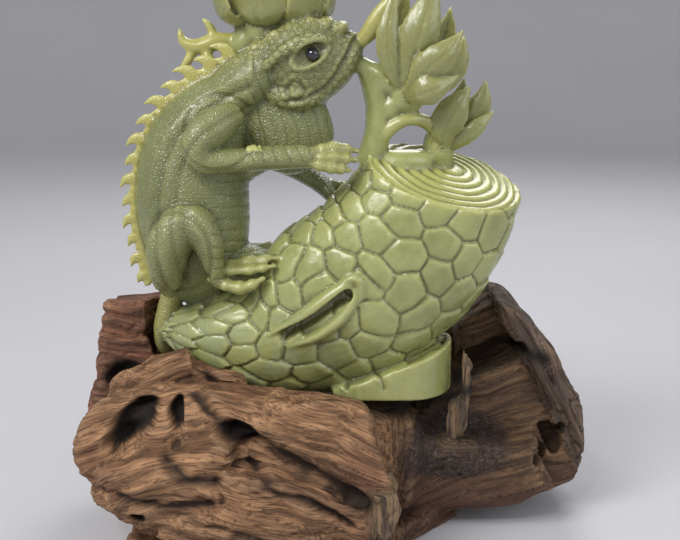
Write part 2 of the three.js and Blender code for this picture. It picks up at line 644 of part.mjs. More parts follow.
// The sawn sole that joins the lobes below and lies flat on the table.
const SOLE = [[-109, -66], [-94, -86], [10, -87], [23, -61], [66, -14], [74, 37], [41, 63], [-57, 61],
  [-114, 33]];
const SOLE_THICKNESS = 11;
function sole() {
  const plan = new THREE.Shape(SOLE.map(([x, y]) => new THREE.Vector2(x * wood, y * wood)));
  return solid(new THREE.ExtrudeGeometry(plan, { depth: SOLE_THICKNESS * wood, bevelEnabled: false }));
}
function stand() {
  const long = 2 * STAND_LENGTH;
  const under = box(long, long, long, [0, 0, -long / 2]);
  const root = joined([frontLobe(), backLobes(), sole()]).scale([1, 1, rise]);
  return root.subtract(under).subtract(seatRoom()).simplify(FINEST_FACET);
}

// Materials and the finished part
const jadeGreen = new THREE.MeshStandardMaterial({ color: 0x9aa455, roughness: 0.25, metalness: 0 });
const blackStone = new THREE.MeshStandardMaterial({ color: 0x0b0d14, roughness: 0.08, metalness: 0 });
const rootWood = new THREE.MeshStandardMaterial({ color: 0x6b4226, roughness: 0.8, metalness: 0 });

function named(name, shape, material) {
  const mesh = new THREE.Mesh(geometryOf(shape), material);
  mesh.name = name;
  return mesh;
}

const statue = new THREE.Group();
const stone = new THREE.Group();
stone.position.z = SEAT_HEIGHT;
stone.add(named("jade_carving", jade(), jadeGreen));
stone.add(named("near_eye_bead", bead(-1, EYE_DIAMETER / 2), blackStone));
stone.add(named("far_eye_bead", bead(1, EYE_DIAMETER / 2), blackStone));
statue.add(stone);
statue.add(named("root_wood_stand", stand(), rootWood));

export default statue;
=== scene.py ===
# %% [markdown]
# # A green jade lizard on a root-wood stand
# The object is one carved stone, two set-in black eyes and one piece of root wood.
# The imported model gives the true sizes. Here each of its plain solids gets the surface
# of the real thing: polished jade with bark plates and skin, and weathered wood.

import math

import bmesh
import bpy
import numpy as np
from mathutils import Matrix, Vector, kdtree


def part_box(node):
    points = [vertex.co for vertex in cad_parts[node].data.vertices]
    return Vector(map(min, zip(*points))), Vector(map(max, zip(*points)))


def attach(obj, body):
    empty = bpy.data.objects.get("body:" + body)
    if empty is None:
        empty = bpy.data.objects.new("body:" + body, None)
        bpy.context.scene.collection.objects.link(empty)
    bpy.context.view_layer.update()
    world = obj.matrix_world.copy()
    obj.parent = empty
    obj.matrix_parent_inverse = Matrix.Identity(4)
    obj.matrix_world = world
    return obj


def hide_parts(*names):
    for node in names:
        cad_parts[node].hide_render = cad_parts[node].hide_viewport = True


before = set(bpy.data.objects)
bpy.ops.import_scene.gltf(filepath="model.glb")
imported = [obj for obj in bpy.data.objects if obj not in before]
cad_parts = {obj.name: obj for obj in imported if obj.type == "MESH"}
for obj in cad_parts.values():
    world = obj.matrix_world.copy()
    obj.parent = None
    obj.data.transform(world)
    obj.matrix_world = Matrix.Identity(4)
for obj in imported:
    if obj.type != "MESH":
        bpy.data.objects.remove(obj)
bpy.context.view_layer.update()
MM = 0.001
SEAT = 74.0
print("nodes:", sorted(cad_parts))

# %% [markdown]
# ## The camera
# The photograph looks a little down on the carving from about half a metre. The camera
# comes first, so that every form can be judged from the same place.

# %% The camera
LENS = 53.9
DISTANCE = 0.560
LOOK_DOWN = math.radians(12.0)
camera_data = bpy.data.cameras.new("camera")
camera_data.sensor_width = 36.0
camera_data.lens = LENS
camera = bpy.data.objects.new("camera", camera_data)
bpy.context.collection.objects.link(camera)
look_at = Vector((0.0, 0.0, 0.140))
camera.location = look_at + DISTANCE * Vector((0.0, -math.cos(LOOK_DOWN), math.sin(LOOK_DOWN)))
camera.rotation_euler = (look_at - camera.location).to_track_quat("-Z", "Y").to_euler()
bpy.context.scene.camera = camera

# %% [markdown]
# ## Forms drawn out along a curve
# A limb, a petal or a stem is a ball drawn out along a curve, with a width and a depth
# at every point. A ball from `create_uvsphere` is closed at its poles, so each form is a
# closed body, and many such bodies can be melted into one stone later.
# Every point also remembers what it belongs to, which the carving and colours need.

# %% Smooth curves through a few points
NEAR = np.array([0.0, -1.0, 0.0])
FAR = np.array([0.0, 1.0, 0.0])


def curve_at(points, t, even=False):
    points = np.asarray(points, float)
    ends = np.vstack([2 * points[0] - points[1], points, 2 * points[-1] - points[-2]])
    place = np.clip(t, 0, 1) * (len(points) - 1)
    i = np.minimum(place.astype(int), len(points) - 2)
    w = (place - i)[:, None]
    a, b, c, d = ends[i], ends[i + 1], ends[i + 2], ends[i + 3]
    if even:
        m1, m2 = 0.5 * (c - a), 0.5 * (d - b)
    else:
        step = [
            np.maximum(np.linalg.norm(q - p, axis=1), 1e-9)[:, None] ** 0.5
            for p, q in ((a, b), (b, c), (c, d))
        ]
        m1 = ((b - a) / step[0] - (c - a) / (step[0] + step[1]) + (c - b) / step[1]) * step[1]
        m2 = ((c - b) / step[1] - (d - b) / (step[1] + step[2]) + (d - c) / step[2]) * step[1]
    return b + m1 * w + (3 * (c - b) - 2 * m1 - m2) * w**2 + (2 * (b - c) + m1 + m2) * w**3


def unit(v):
    return v / np.maximum(np.linalg.norm(v, axis=-1, keepdims=True), 1e-12)


# %% One drawn-out form
KINDS = ["trunk", "foot", "skin", "head", "toe", "crest", "petal", "stem", "lip"]
jade_bm = bmesh.new()
notes = {name: [] for name in ("kind", "t", "across", "thin")}


def form(kind, points, sides=20, rings=22, face=NEAR, blunt=0.35, cup=0.0, thin=0.0, bm=None):
    ball_bm = bmesh.new()
    made = bmesh.ops.create_uvsphere(ball_bm, u_segments=sides, v_segments=rings, radius=1.0)["verts"]
    ball = np.array([v.co for v in made])
    t = np.arccos(np.clip(ball[:, 2], -1, 1)) / math.pi
    turn = np.arctan2(ball[:, 1], ball[:, 0])
    pole = np.hypot(ball[:, 0], ball[:, 1]) < 1e-5
    points = np.asarray(points, float)
    spine = curve_at(points[:, :3], t)
    size = curve_at(points[:, 3:5], t, even=True)
    later = curve_at(points[:, :3], np.minimum(t + 1e-3, 1))
    ahead = unit(later - curve_at(points[:, :3], np.maximum(t - 1e-3, 0)))
    depth = unit(face - ahead * (ahead @ face)[:, None])
    side = np.cross(depth, ahead)
    end = np.where(pole, 0, np.sin(math.pi * np.clip(t, 0, 1)).clip(0) ** blunt)
    across, deep = np.cos(turn), np.sin(turn)
    across, deep = np.where(pole, 0, across), np.where(pole, 0, deep)
    spot = spine + side * (across * size[:, 0] * end)[:, None]
    spot = spot + depth * (deep * size[:, 1] * end - cup * across**2 * size[:, 0] * end)[:, None]
    for v, co in zip(made, (spot + [0, 0, SEAT]) * MM):
        v.co = co
    drawn = bpy.data.meshes.new("drawn_form")
    ball_bm.to_mesh(drawn)
    ball_bm.free()
    (jade_bm if bm is None else bm).from_mesh(drawn)
    bpy.data.meshes.remove(drawn)
    if bm is None:
        notes["kind"] += [KINDS.index(kind)] * len(made)
        notes["t"] += list(t)
        notes["across"] += list(across)
        petal_rim = 0.35 + 0.65 * np.maximum(across**4, t**3)
        notes["thin"] += list(petal_rim if kind == "petal" else np.full(len(made), thin))


# %% [markdown]
# ## The trunk
# The trunk bends up from the left and ends in a sawn face. A fine ball is drawn out
# along its axis, then `bisect_plane` saws off its top and the cut is filled. The bark
# plates and the growth rings are carved later, when the stone is one skin.

# %% The trunk and its sawn face
TRUNK = [
    [-101, 2, 33, 6, 8], [-89, 1, 32, 17, 15], [-70, 0, 29, 26, 22], [-38, 0, 29, 38, 28],
    [-4, 0, 47, 49, 33], [20, 0, 63, 49, 36], [38, 0, 82, 49, 36], [51, 0, 102, 47, 34],
    [60, 0, 122, 45, 32], [67, 0, 144, 43, 31], [73, 0, 168, 41, 31],
]
FACE_CENTRE = np.array([55.0, 0.0, 119.7])
FACE_NORMAL = unit(np.array([0.2448, -0.3802, 0.8921]))
FACE_RIGHT = unit(np.array([0.9643, 0.0, -0.2648]))
FACE_BACK = np.cross(FACE_NORMAL, FACE_RIGHT)

trunk_bm = bmesh.new()
form("trunk", TRUNK, sides=150, rings=210, blunt=0.2, bm=trunk_bm)
saw = bmesh.ops.bisect_plane(
    trunk_bm,
    geom=trunk_bm.verts[:] + trunk_bm.edges[:] + trunk_bm.faces[:],
    plane_co=(FACE_CENTRE + [0, 0, SEAT]) * MM,
    plane_no=FACE_NORMAL,
    clear_outer=True,
)
rim = [e for e in saw["geom_cut"] if isinstance(e, bmesh.types.BMEdge)]
bmesh.ops.triangle_fill(trunk_bm, edges=rim, use_dissolve=False, use_beauty=True)
bmesh.ops.recalc_face_normals(trunk_bm, faces=trunk_bm.faces)
sawn_trunk = bpy.data.meshes.new("sawn_trunk")
trunk_bm.to_mesh(sawn_trunk)
jade_bm.from_mesh(sawn_trunk)
for name, value in (("kind", 0), ("t", 0.0), ("across", 0.0), ("thin", 0.0)):
    notes[name] += [value] * len(sawn_trunk.vertices)
print("trunk:", len(sawn_trunk.vertices), "points")

# %% [markdown]
# ## The foot and the knothole's lips
# A plain polished wedge carries the trunk. It starts as a flat half-round outline that
# is extruded upwards, and its top is cut on a slope. The knothole is framed by two lips.

# %% The foot and the lips
FOOT_THICKNESS = 0.029
FOOT_SLOPE = 0.36
foot_bm = bmesh.new()
outline = [(-4, -20), (10, -29), (36, -29)]
outline += [(36 + 26 * math.cos(a), -1 + 28 * math.sin(a)) for a in np.linspace(-1.4, 1.4, 22)]
outline += [(36, 27), (-4, 27)]
ring = [foot_bm.verts.new((x * MM, y * MM, SEAT * MM)) for x, y in outline]
base = foot_bm.faces.new(ring)
raised = bmesh.ops.extrude_face_region(foot_bm, geom=[base])["geom"]
top = [v for v in raised if isinstance(v, bmesh.types.BMVert)]
bmesh.ops.translate(foot_bm, vec=(0, 0, FOOT_THICKNESS), verts=top)
slope_cut = bmesh.ops.bisect_plane(
    foot_bm,
    geom=foot_bm.verts[:] + foot_bm.edges[:] + foot_bm.faces[:],
    plane_co=Vector((0.014, 0.0, (SEAT + 11.0) * MM)),
    plane_no=(-math.sin(FOOT_SLOPE), 0.0, math.cos(FOOT_SLOPE)),
    clear_outer=True,
)
slope_rim = [e for e in slope_cut["geom_cut"] if isinstance(e, bmesh.types.BMEdge)]
bmesh.ops.triangle_fill(foot_bm, edges=slope_rim, use_dissolve=False)
bmesh.ops.recalc_face_normals(foot_bm, faces=foot_bm.faces)
foot_mesh = bpy.data.meshes.new("foot")
foot_bm.to_mesh(foot_mesh)
jade_bm.from_mesh(foot_mesh)
for name, value in (("kind", 1), ("t", 0.0), ("across", 0.0), ("thin", 0.1)):
    notes[name] += [value] * len(foot_mesh.vertices)

form("lip", [[-47, -20, 31, 2, 4], [-21, -31, 47, 3.6, 5], [0, -33, 63, 3.6, 5], [9, -33, 67, 3, 4]], 18, 40)
form("lip", [[-38, -22, 26, 2, 4], [-11, -31, 38, 3, 5], [5, -33, 53, 3.3, 5], [9, -33, 67, 3, 4]], 18, 40)
form("lip", [[-2, -33, 64, 2.6, 4], [8, -33, 69, 3, 5], [11, -33, 60, 2.4, 4], [7, -32, 53, 2, 4]], 16, 30)

# %% [markdown]
# ## The lizard
# The lizard climbs the trunk from the left, its head lifted to the blossoms. The body,
# throat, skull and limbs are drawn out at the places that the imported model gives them.

# %% Body, throat and tail
form("skin", [[-38, 4, 170, 16, 16], [-60, 4, 156, 23.5, 21], [-76, 4, 134, 29, 25],
              [-80, 4, 110, 30.5, 27], [-79, 4, 85, 31, 26], [-78, 4, 62, 28, 22],
              [-74, 4, 45, 21, 16]], 56, 70, blunt=0.4)
form("skin", [[-22, 3, 170, 22, 14], [-28, 3, 151, 26, 13], [-31, 3, 134, 26, 13],
              [-36, 3, 120, 17, 13]], 44, 40, blunt=0.3)
form("skin", [[-56, 3, 115, 6, 12], [-47, 3, 121.5, 5, 10], [-37, 3, 124.5, 4.5, 9]], 20, 20)
form("skin", [[-22, 3, 182, 11, 14], [-38, 3, 175, 14, 17], [-54, 4, 163, 16, 19],
              [-67, 4, 149, 19, 22]], 40, 36, blunt=0.4)
form("skin", [[-66, 2, 72, 16, 16], [-46, 2, 66, 13, 15], [-26, 2, 68, 9, 13]], 32, 30, blunt=0.3)
form("skin", [[-88, 4, 62, 13, 14], [-95, 4, 46, 8, 11], [-99, 5, 31, 6, 9], [-97, 17, 17, 6, 8],
              [-76, 29, 13, 6, 6], [-46, 34, 22, 5.5, 5], [-21, 38, 41, 4.5, 5],
              [-4, 38, 62, 3, 4]], 20, 80, blunt=0.3, thin=0.5)

# %% Head
form("head", [[-50, 3, 169, 15, 16], [-34, 3, 174, 22, 20], [-20, 3, 178, 23.5, 21], [-7, 3, 183, 20.5, 18],
              [3, 3, 188, 14, 13], [9, 3, 193, 9, 9]], 56, 56, blunt=0.45)
form("head", [[-12, 3, 158, 7, 13], [0, 3, 171, 6, 12], [7, 3, 182, 5, 10], [11.5, 3, 189, 3.5, 7]], 32, 32)
form("head", [[-44, 3, 165, 8, 15], [-33, 3, 161, 10, 17], [-20, 3, 161, 11, 17],
              [-9, 3, 164, 7.5, 14], [0, 3, 172, 5, 11]], 40, 40)
for y, face in ((-1, NEAR), (1, FAR)):
    form("head", [[-44, 3 + y * 14, 171, 3, 3], [-28, 3 + y * 18.5, 184, 3.6, 4],
                  [-15, 3 + y * 18.5, 189.5, 3.6, 4], [-4, 3 + y * 14, 189.5, 2.6, 3]], 18, 36, face)
    form("head", [[-24, 3 + y * 17.5, 176, 1.6, 2], [-13, 3 + y * 18.5, 176.6, 2.0, 2.6],
                  [-4, 3 + y * 15.5, 183, 1.6, 2]], 14, 26, face)
HEAD_PLATES = [
    [-51, 180, 6], [-43, 187, 6], [-34, 193, 6], [-25, 197, 5.6], [-16, 199.4, 5.4], [-8, 199.6, 5],
    [0, 197.6, 4.6],
]
for x, z, r in HEAD_PLATES:
    for row, y in enumerate((-7.5, 0.0, 7.5)):
        low = 2.4 if row != 1 else 1.4
        form("head", [[x - r, 3 + y, z - low - r * 0.4, r * 0.6, 3.8], [x, 3 + y, z - low, r * 0.72, 4.6],
                      [x + r, 3 + y, z - low + r * 0.4, r * 0.6, 3.8]], 14, 12, blunt=0.4, thin=0.25)

# %% Legs and toes
form("skin", [[-51, -15, 153, 9, 11], [-62, -22, 147.5, 13, 13], [-72, -27, 138, 10.5, 12],
              [-70, -27, 130, 7.4, 10], [-54, -26, 129, 6.3, 8], [-33, -23, 130, 6.8, 8],
              [-14, -20, 130, 7.2, 7.5], [-3, -16, 128, 6, 7]], 36, 90, blunt=0.3)
form("skin", [[-66, 12, 150, 12, 11], [-48, 22, 133, 10, 9], [-24, 25, 119, 6.3, 8], [-10, 21, 110, 5.6, 7],
              [-2, 12, 101, 5.5, 6]], 24, 44, FAR, blunt=0.3)
TOES_NEAR = [
    [[-18, -21, 132, 3.1, 4], [-3, -19, 135, 3.1, 4], [11, -13, 132, 2.2, 3]],
    [[-18, -23, 130, 3.1, 4], [-3, -22, 130, 3.1, 4], [10, -17, 128, 2.2, 3]],
    [[-18, -23, 128, 3.7, 4], [-4, -23, 125, 3.4, 4], [6, -20, 123, 2.5, 3]],
]
TOES_FAR = [
    [[-16, 21, 114, 3.1, 4], [2, 27, 109, 3.1, 4], [12, 31, 108, 2.0, 3]],
    [[-15, 21, 111, 3.1, 4], [1, 26, 101, 3.1, 4], [8, 31, 97, 2.0, 3]],
]
for line in TOES_NEAR:
    form("toe", line, 16, 24, thin=0.35)
for line in TOES_FAR:
    form("toe", line, 16, 24, FAR, thin=0.35)
for s, face in ((-1, NEAR), (1, FAR)):
    y = lambda depth: 4 + s * depth
    form("skin", [[-92, y(12), 53, 8, 9], [-92, y(22), 69, 10.6, 12], [-89, y(27), 85, 12, 13],
                  [-82, y(29), 96, 12, 12], [-73, y(29), 99, 9, 10]], 36, 50, face, 0.4)
    form("skin", [[-86, y(29), 100, 9, 9], [-76, y(30), 96.5, 11, 10], [-69.5, y(30), 88, 8.8, 9],
                  [-67, y(28), 77, 7, 8], [-64, y(24), 60, 6, 7]], 32, 44, face, 0.35)
    hind_toes = [
        [[-71, y(20), 70, 3.1, 4], [-48, y(19), 74, 2.8, 4], [-30, y(20), 76.5, 1.9, 3]],
        [[-71, y(23), 70, 3.1, 4], [-47, y(24), 70.5, 2.8, 4], [-33, y(25), 73, 1.9, 3]],
        [[-71, y(23), 66, 3.7, 5], [-52, y(27), 61.5, 3.6, 5], [-39, y(27), 67, 2.2, 3.5]],
    ]
    for line in hind_toes:
        form("toe", line, 16, 24, face, thin=0.3)

# %% [markdown]
# ## The crest
# A row of hooked, leaf-like spines runs down the back. They are thin, so light passes
# through and they look yellow. One loop walks along the back and plants them.

# %% The crest
BACK = np.array([[-52, 3, 178], [-66, 3, 172], [-83, 3, 161], [-96, 3, 147], [-104, 3, 131], [-109, 3, 107],
                 [-108, 3, 80], [-104, 3, 58]], float)
form("crest", [[x, y, z, 4, 2.4] for x, y, z in BACK], 14, 70, blunt=0.25, thin=0.7)
SPINES = 14
walk = curve_at(BACK, np.linspace(0, 1, 400))
length = np.concatenate([[0], np.cumsum(np.linalg.norm(np.diff(walk, axis=0), axis=1))])


def spine(share, lift, wide):
    k = np.searchsorted(length, share * length[-1]).clip(1, 398)
    root, ahead = walk[k], unit(walk[k + 1] - walk[k - 1])
    out = np.array([ahead[2], 0, -ahead[0]])
    path = [
        root,
        root + out * (lift * 0.55 + 2),
        root + out * (lift * 0.9 + 2) + ahead * lift * 0.3,
        root + out * (lift + 3) + ahead * lift * 0.85,
    ]
    shape = zip(path, (1, 0.85, 0.5, 0.14), (2.2, 1.8, 1.2, 0.6))
    form("crest", [[*p, wide * w, h] for p, w, h in shape], 14, 20, blunt=0.3, thin=1.0)


for i in range(SPINES):
    share = (i + 0.5) / SPINES
    lift = 11.0 * (1.05 - 0.5 * share) * (0.85 if i % 2 else 1.0)
    spine(share, lift, 4.9 - 1.2 * share)
    spine(share + 0.45 / SPINES, lift * 0.42, 2.4)

# %% [markdown]
# ## Stems and blossoms
# The petals are thin cupped leaves round a small heart. A stem rises from the trunk
# behind the lizard's throat, and a second blossom opens above its neck.

# %% Stems and leaves
BRANCHES = [
    ([[14, 3, 122, 13, 13], [20, 4, 139, 8.6, 11], [21, 5, 154, 7.6, 10], [19, 5, 165, 7.6, 9],
      [14, 4, 174, 7, 8], [5, 3, 180, 5, 7]], 0.0),
    ([[20, 5, 147, 6, 9], [28, 3, 155, 7, 9], [34, 1, 162, 6, 8]], 0.0),
    ([[13, 3, 177, 5, 6], [22, 2, 170, 5.6, 7], [30, 1, 160, 5, 7]], 0.0),
    ([[7, 2, 184, 4, 4], [15, 1, 193, 5, 4], [23, 0, 203, 6, 4], [34, -1, 219, 3, 3]], 0.7),
    ([[20, 0, 135, 5.5, 7], [29, -2, 145, 4.2, 5], [36, -2, 148, 3.4, 4], [45, 4, 147, 4.4, 6],
      [53, 9, 140, 6, 7]], 0.3),
    ([[20, 2, 124, 9, 9], [34, 3, 125, 7, 9], [50, 8, 125, 8, 9]], 0.0),
    ([[-56, 10, 160, 10, 10], [-55, 15, 176, 8.6, 9], [-50, 15, 189, 9, 10], [-42, 15, 198, 11, 11]], 0.0),
    ([[-50, 15, 189, 6, 6], [-67, 13, 188.5, 5.6, 5.5], [-77, 12, 186, 4.4, 5],
      [-84, 11, 189, 3.2, 4], [-86, 10, 196, 1.8, 3]], 0.8),
    ([[-74, 12, 186, 3.2, 4], [-69, 9, 178, 3, 4], [-62, 5, 170, 4, 5]], 0.8),
    ([[-78, 12, 186, 3.2, 4], [-82, 11, 178, 2.6, 3.5], [-87, 10, 172, 1.5, 2.5]], 1.0),
    ([[-67, 13, 190, 3, 4], [-70, 13, 197, 2.2, 3], [-74, 12, 201, 1.4, 2]], 1.0),
]
for line, glow in BRANCHES:
    form("stem", line, 26, 12 * len(line), blunt=0.3, thin=glow)


# %% Petals
def petal(points, face=NEAR, cup=0.35):
    form("petal", [[x, y, z, w, 1.7] for x, y, z, w in points], 28, 34, face, 0.4, cup)


petal([[32, -4, 161, 2.4], [27, -9, 174, 5.6], [24.5, -10, 188, 6.6], [26, -8, 203, 5.2],
       [31, -4, 222, 1.6]])
petal([[33, -5, 162, 3.4], [37, -11, 179, 8.2], [41.5, -12, 194, 10.6], [46, -9, 208, 7.8],
       [50, -5, 223, 1.8]])
petal([[33, -8, 162, 2.6], [42, -16, 172.5, 7.7], [53, -18, 182, 8.2], [64, -11, 195, 1.6]])
petal([[33, -4, 159, 4.5], [40, -17, 161.5, 7], [49, -19, 165, 7.6], [63, -10, 172, 2]])
petal([[38, -1, 160, 6], [56, -5, 170, 7.8], [63, -3, 181, 6], [65, -2, 193, 1.6]])
petal([[38, 6, 163, 4.3], [50, 12, 179, 9.4], [56, 12, 192, 7.6], [59, 8, 208, 1.8]], FAR)
petal([[34, 5, 163, 4.3], [30, 12, 179, 8.8], [31, 13, 198, 8.4], [37, 9, 220, 2.1]], FAR)
petal([[36, 8, 162, 4.3], [44, 17, 178, 9.2], [52, 18, 191, 8], [61, 12, 204, 1.6]], FAR)
form("stem", [[27, 2, 153, 7, 8], [35, 1, 160, 10, 9], [45, 0, 168, 9, 8]], 28, 28)

petal([[55, 6, 127, 5.4], [56, -1, 143, 9], [61.5, -3, 154.5, 9.2], [69.5, 2, 166, 3.6]])
petal([[56, 9, 129, 4.4], [68, 2, 139, 5.3], [76, 3, 146, 4.3], [84, 8, 153, 1.3]])
petal([[57, 12, 134, 5], [70, 9, 147, 8.2], [76.5, 9, 157.5, 6.8], [79, 11, 169.5, 2.2]])
petal([[61, 16, 131, 4.4], [62, 21, 146, 8.4], [66, 21, 158, 7], [68, 17, 170, 1.6]], FAR)
form("stem", [[56, 14, 118, 9.5, 10], [54, 11, 135, 8.5, 9], [61, 9, 148, 8, 8]], 28, 32)

CROWN = np.array([-35.0, 16.0, 193.0])
form("stem", [[-49, 15, 182, 8, 8], [-42, 15, 193, 14, 13], [-36, 15, 205, 15, 14]], 30, 24)
CROWN_ROWS = ((6, 8, 34, 37, 43, 17, 0.25), (3, 4, 17, 11, 42.5, 12, 0.9))
for count, foot, belly, tip, rise, wide, first in CROWN_ROWS:
    for i in range(count):
        a = first + 2 * math.pi * i / count
        out = np.array([math.cos(a), math.sin(a) * 0.72, 0.0])
        place = lambda r, up, w: [*(CROWN + out * r + [0, 0, up]), w * wide]
        low = [place(foot, 1, 0.7), place(belly * 0.84, rise * 0.17, 1)]
        petal(low + [place(belly, rise * 0.55, 0.9), place(tip, rise, 0.2)], unit(out))
print("forms of the stone:", len(jade_bm.verts), "points")

# %% [markdown]
# ## One stone
# A carving has no joints, so the overlapping forms are melted into one skin. The voxel
# Remesh modifier does this and gives an even mesh, fine enough to carve on.

# %% Melting and reading the forms back
VOXEL = 0.00082


def plain_object(name, mesh):
    thing = bpy.data.objects.new(name, mesh)
    bpy.context.collection.objects.link(thing)
    return thing


def applied(thing):
    done = bpy.data.meshes.new_from_object(thing.evaluated_get(bpy.context.evaluated_depsgraph_get()))
    thing.modifiers.clear()
    thing.data = done
    return done


def points_of(mesh):
    out = np.empty(len(mesh.vertices) * 3)
    mesh.vertices.foreach_get("co", out)
    return out.reshape(-1, 3)


def melt(thing, voxel):
    melter = thing.modifiers.new("melt", "REMESH")
    melter.mode = "VOXEL"
    melter.voxel_size = voxel
    return applied(thing)


raw = bpy.data.meshes.new("jade_forms")
jade_bm.to_mesh(raw)
raw_points = points_of(raw)
jade = plain_object("jade_stone", raw)
skin = melt(jade, VOXEL)
print("melted stone:", len(skin.vertices), "points")

tree = kdtree.KDTree(len(raw_points))
for i, co in enumerate(raw_points):
    tree.insert(co, i)
tree.balance()
co = points_of(skin)
close = np.empty((len(co), 3), int)
away = np.empty((len(co), 3))
for i, p in enumerate(co):
    for j, (_, index, distance) in enumerate(tree.find_n(p, 3)):
        close[i, j] = index
        away[i, j] = distance
share = 1 / (away + 1e-5)
share /= share.sum(axis=1, keepdims=True)
notes = {name: np.array(values) for name, values in notes.items()}
kind = notes["kind"][close[:, 0]]
petal_t = (notes["t"][close] * share).sum(axis=1)
petal_across = (notes["across"][close] * share).sum(axis=1)
thin = (notes["thin"][close] * share).sum(axis=1)


# %% [markdown]
# ## Carving tools
# Each tool is a field: a height for every point of the skin. Points move along their
# normals by that height. Noise, cells and distances to a line are enough for most cuts.

# %% Noise, cells and lines
def noise(p, size, seed=0):
    q = p / size + seed * 17.31
    cell = np.floor(q).astype(np.int64)
    f = q - cell
    f = f * f * (3 - 2 * f)
    total = 0.0
    for dx in (0, 1):
        for dy in (0, 1):
            for dz in (0, 1):
                h = (cell[:, 0] + dx) * 73856093 ^ (cell[:, 1] + dy) * 19349663
                h = h ^ (cell[:, 2] + dz) * 83492791
                h = (h * 2654435761 + seed * 40503) & 0xFFFFFFFF
                h = ((h >> 15) ^ h) * 2246822519 & 0xFFFFFFFF
                value = ((h >> 13) & 0xFFFF) / 65535.0
                value = value * (f[:, 0] if dx else 1 - f[:, 0]) * (f[:, 1] if dy else 1 - f[:, 1])
                total = total + value * (f[:, 2] if dz else 1 - f[:, 2])
    return total * 2 - 1


def cells(p, centres, chunk=20000):
    first, second, nearest = np.empty(len(p)), np.empty(len(p)), np.empty(len(p), int)
    for a in range(0, len(p), chunk):
        d = np.linalg.norm(p[a : a + chunk, None, :] - centres[None, :, :], axis=2)
        nearest[a : a + chunk] = np.argmin(d, axis=1)
        d = np.partition(d, 1, axis=1)[:, :2]
        first[a : a + chunk], second[a : a + chunk] = d[:, 0], d[:, 1]
    return first, second, nearest


def to_line(p, line):
    best = np.full(len(p), 1e9)
    for a, b in zip(line[:-1], line[1:]):
        a, b = np.asarray(a, float), np.asarray(b, float)
        w = np.clip(((p - a) @ (b - a)) / ((b - a) @ (b - a)), 0, 1)
        best = np.minimum(best, np.linalg.norm(p - (a + w[:, None] * (b - a)), axis=1))
    return best


def bell(d, width):
    return np.exp(-((d / width) ** 2))


def ramp(x, low, high):
    w = np.clip((x - low) / (high - low), 0, 1)
    return w * w * (3 - 2 * w)


# %% Smoothing and moving along normals
def edges_of(mesh):
    out = np.empty(len(mesh.edges) * 2, int)
    mesh.edges.foreach_get("vertices", out)
    return out.reshape(-1, 2)


def smooth(p, edges, amount, rounds):
    count = np.bincount(edges.ravel(), minlength=len(p)).astype(float)
    for _ in range(rounds):
        mean = np.empty_like(p)
        for k in range(3):
            mean[:, k] = np.bincount(edges[:, 0], p[edges[:, 1], k], len(p))
            mean[:, k] += np.bincount(edges[:, 1], p[edges[:, 0], k], len(p))
        p = p + (mean / count[:, None] - p) * np.reshape(amount, (-1, 1))
    return p


def set_points(mesh, p):
    mesh.vertices.foreach_set("co", p.ravel())
    mesh.update()


def normals_of(mesh):
    out = np.empty(len(mesh.vertices) * 3)
    mesh.vertex_normals.foreach_get("vector", out)
    return out.reshape(-1, 3)


def cavities(p, edges, outward, fine_rounds, broad_rounds):
    calmer = smooth(p, edges, 0.6, fine_rounds)
    fine_depth = ((calmer - p) * outward).sum(axis=1) / MM
    calmer = smooth(calmer, edges, 0.6, broad_rounds)
    return fine_depth, ((calmer - p) * outward).sum(axis=1) / MM


links = edges_of(skin)
is_kind = lambda *names: np.isin(kind, [KINDS.index(n) for n in names])
soft = np.where(is_kind("petal", "crest", "toe"), 0.35, 0.6)
co = smooth(co, links, soft, 5)
set_points(skin, co)
mm = co / MM - [0, 0, SEAT]
normals = normals_of(skin)

# %% [markdown]
# ## Bark plates and growth rings
# The bark is cut into uneven six-sided plates with narrow grooves between them. Round
# the trunk a staggered lattice of centres is shaken a little, and a groove is where the
# two nearest centres are equally far. The sawn face gets rings in the same way.

# %% Bark plates
axis_t = np.linspace(0, 1, 500)
axis = curve_at(np.array(TRUNK)[:, :3], axis_t)
axis_s = np.concatenate([[0], np.cumsum(np.linalg.norm(np.diff(axis, axis=0), axis=1))])
axis_r = curve_at(np.array(TRUNK)[:, 3:5], axis_t, even=True)
from_face = (mm - FACE_CENTRE) @ FACE_NORMAL
right, back = (mm - FACE_CENTRE) @ FACE_RIGHT, (mm - FACE_CENTRE) @ FACE_BACK
on_face = (np.abs(from_face) < 0.9) & (normals @ FACE_NORMAL > 0.93)
kind[on_face] = KINDS.index("trunk")
thin[on_face] = 0.0
on_trunk = np.flatnonzero(is_kind("trunk", "lip"))
near_axis = np.empty(len(on_trunk), int)
for a in range(0, len(on_trunk), 20000):
    d = np.linalg.norm(mm[on_trunk[a : a + 20000], None, :] - axis[None, ::2, :], axis=2)
    near_axis[a : a + 20000] = np.argmin(d, axis=1) * 2
ahead = unit(np.gradient(axis, axis=0))
depth_dir = unit(NEAR - ahead * (ahead @ NEAR)[:, None])
side_dir = np.cross(depth_dir, ahead)
off = mm[on_trunk] - axis[near_axis]
along = axis_s[near_axis] + (off * ahead[near_axis]).sum(axis=1)
off_deep = (off * depth_dir[near_axis]).sum(axis=1) / axis_r[near_axis, 1]
off_side = (off * side_dir[near_axis]).sum(axis=1) / axis_r[near_axis, 0]
TRUNK_RADIUS = 42.0
around = np.arctan2(off_deep, off_side) * TRUNK_RADIUS
rng = np.random.default_rng(7)
PLATE = 18.0
centres = []
for row in range(-1, 20):
    for column in range(-2, 17):
        shake = rng.uniform(-4.8, 4.8, 2)
        round_trunk = (column + 0.5 * (row % 2)) * PLATE * 0.985 - 132
        centres.append([row * PLATE * 0.86 + shake[0], round_trunk + shake[1]])
centres = np.array(centres)
flat = np.stack([along, around], axis=1)
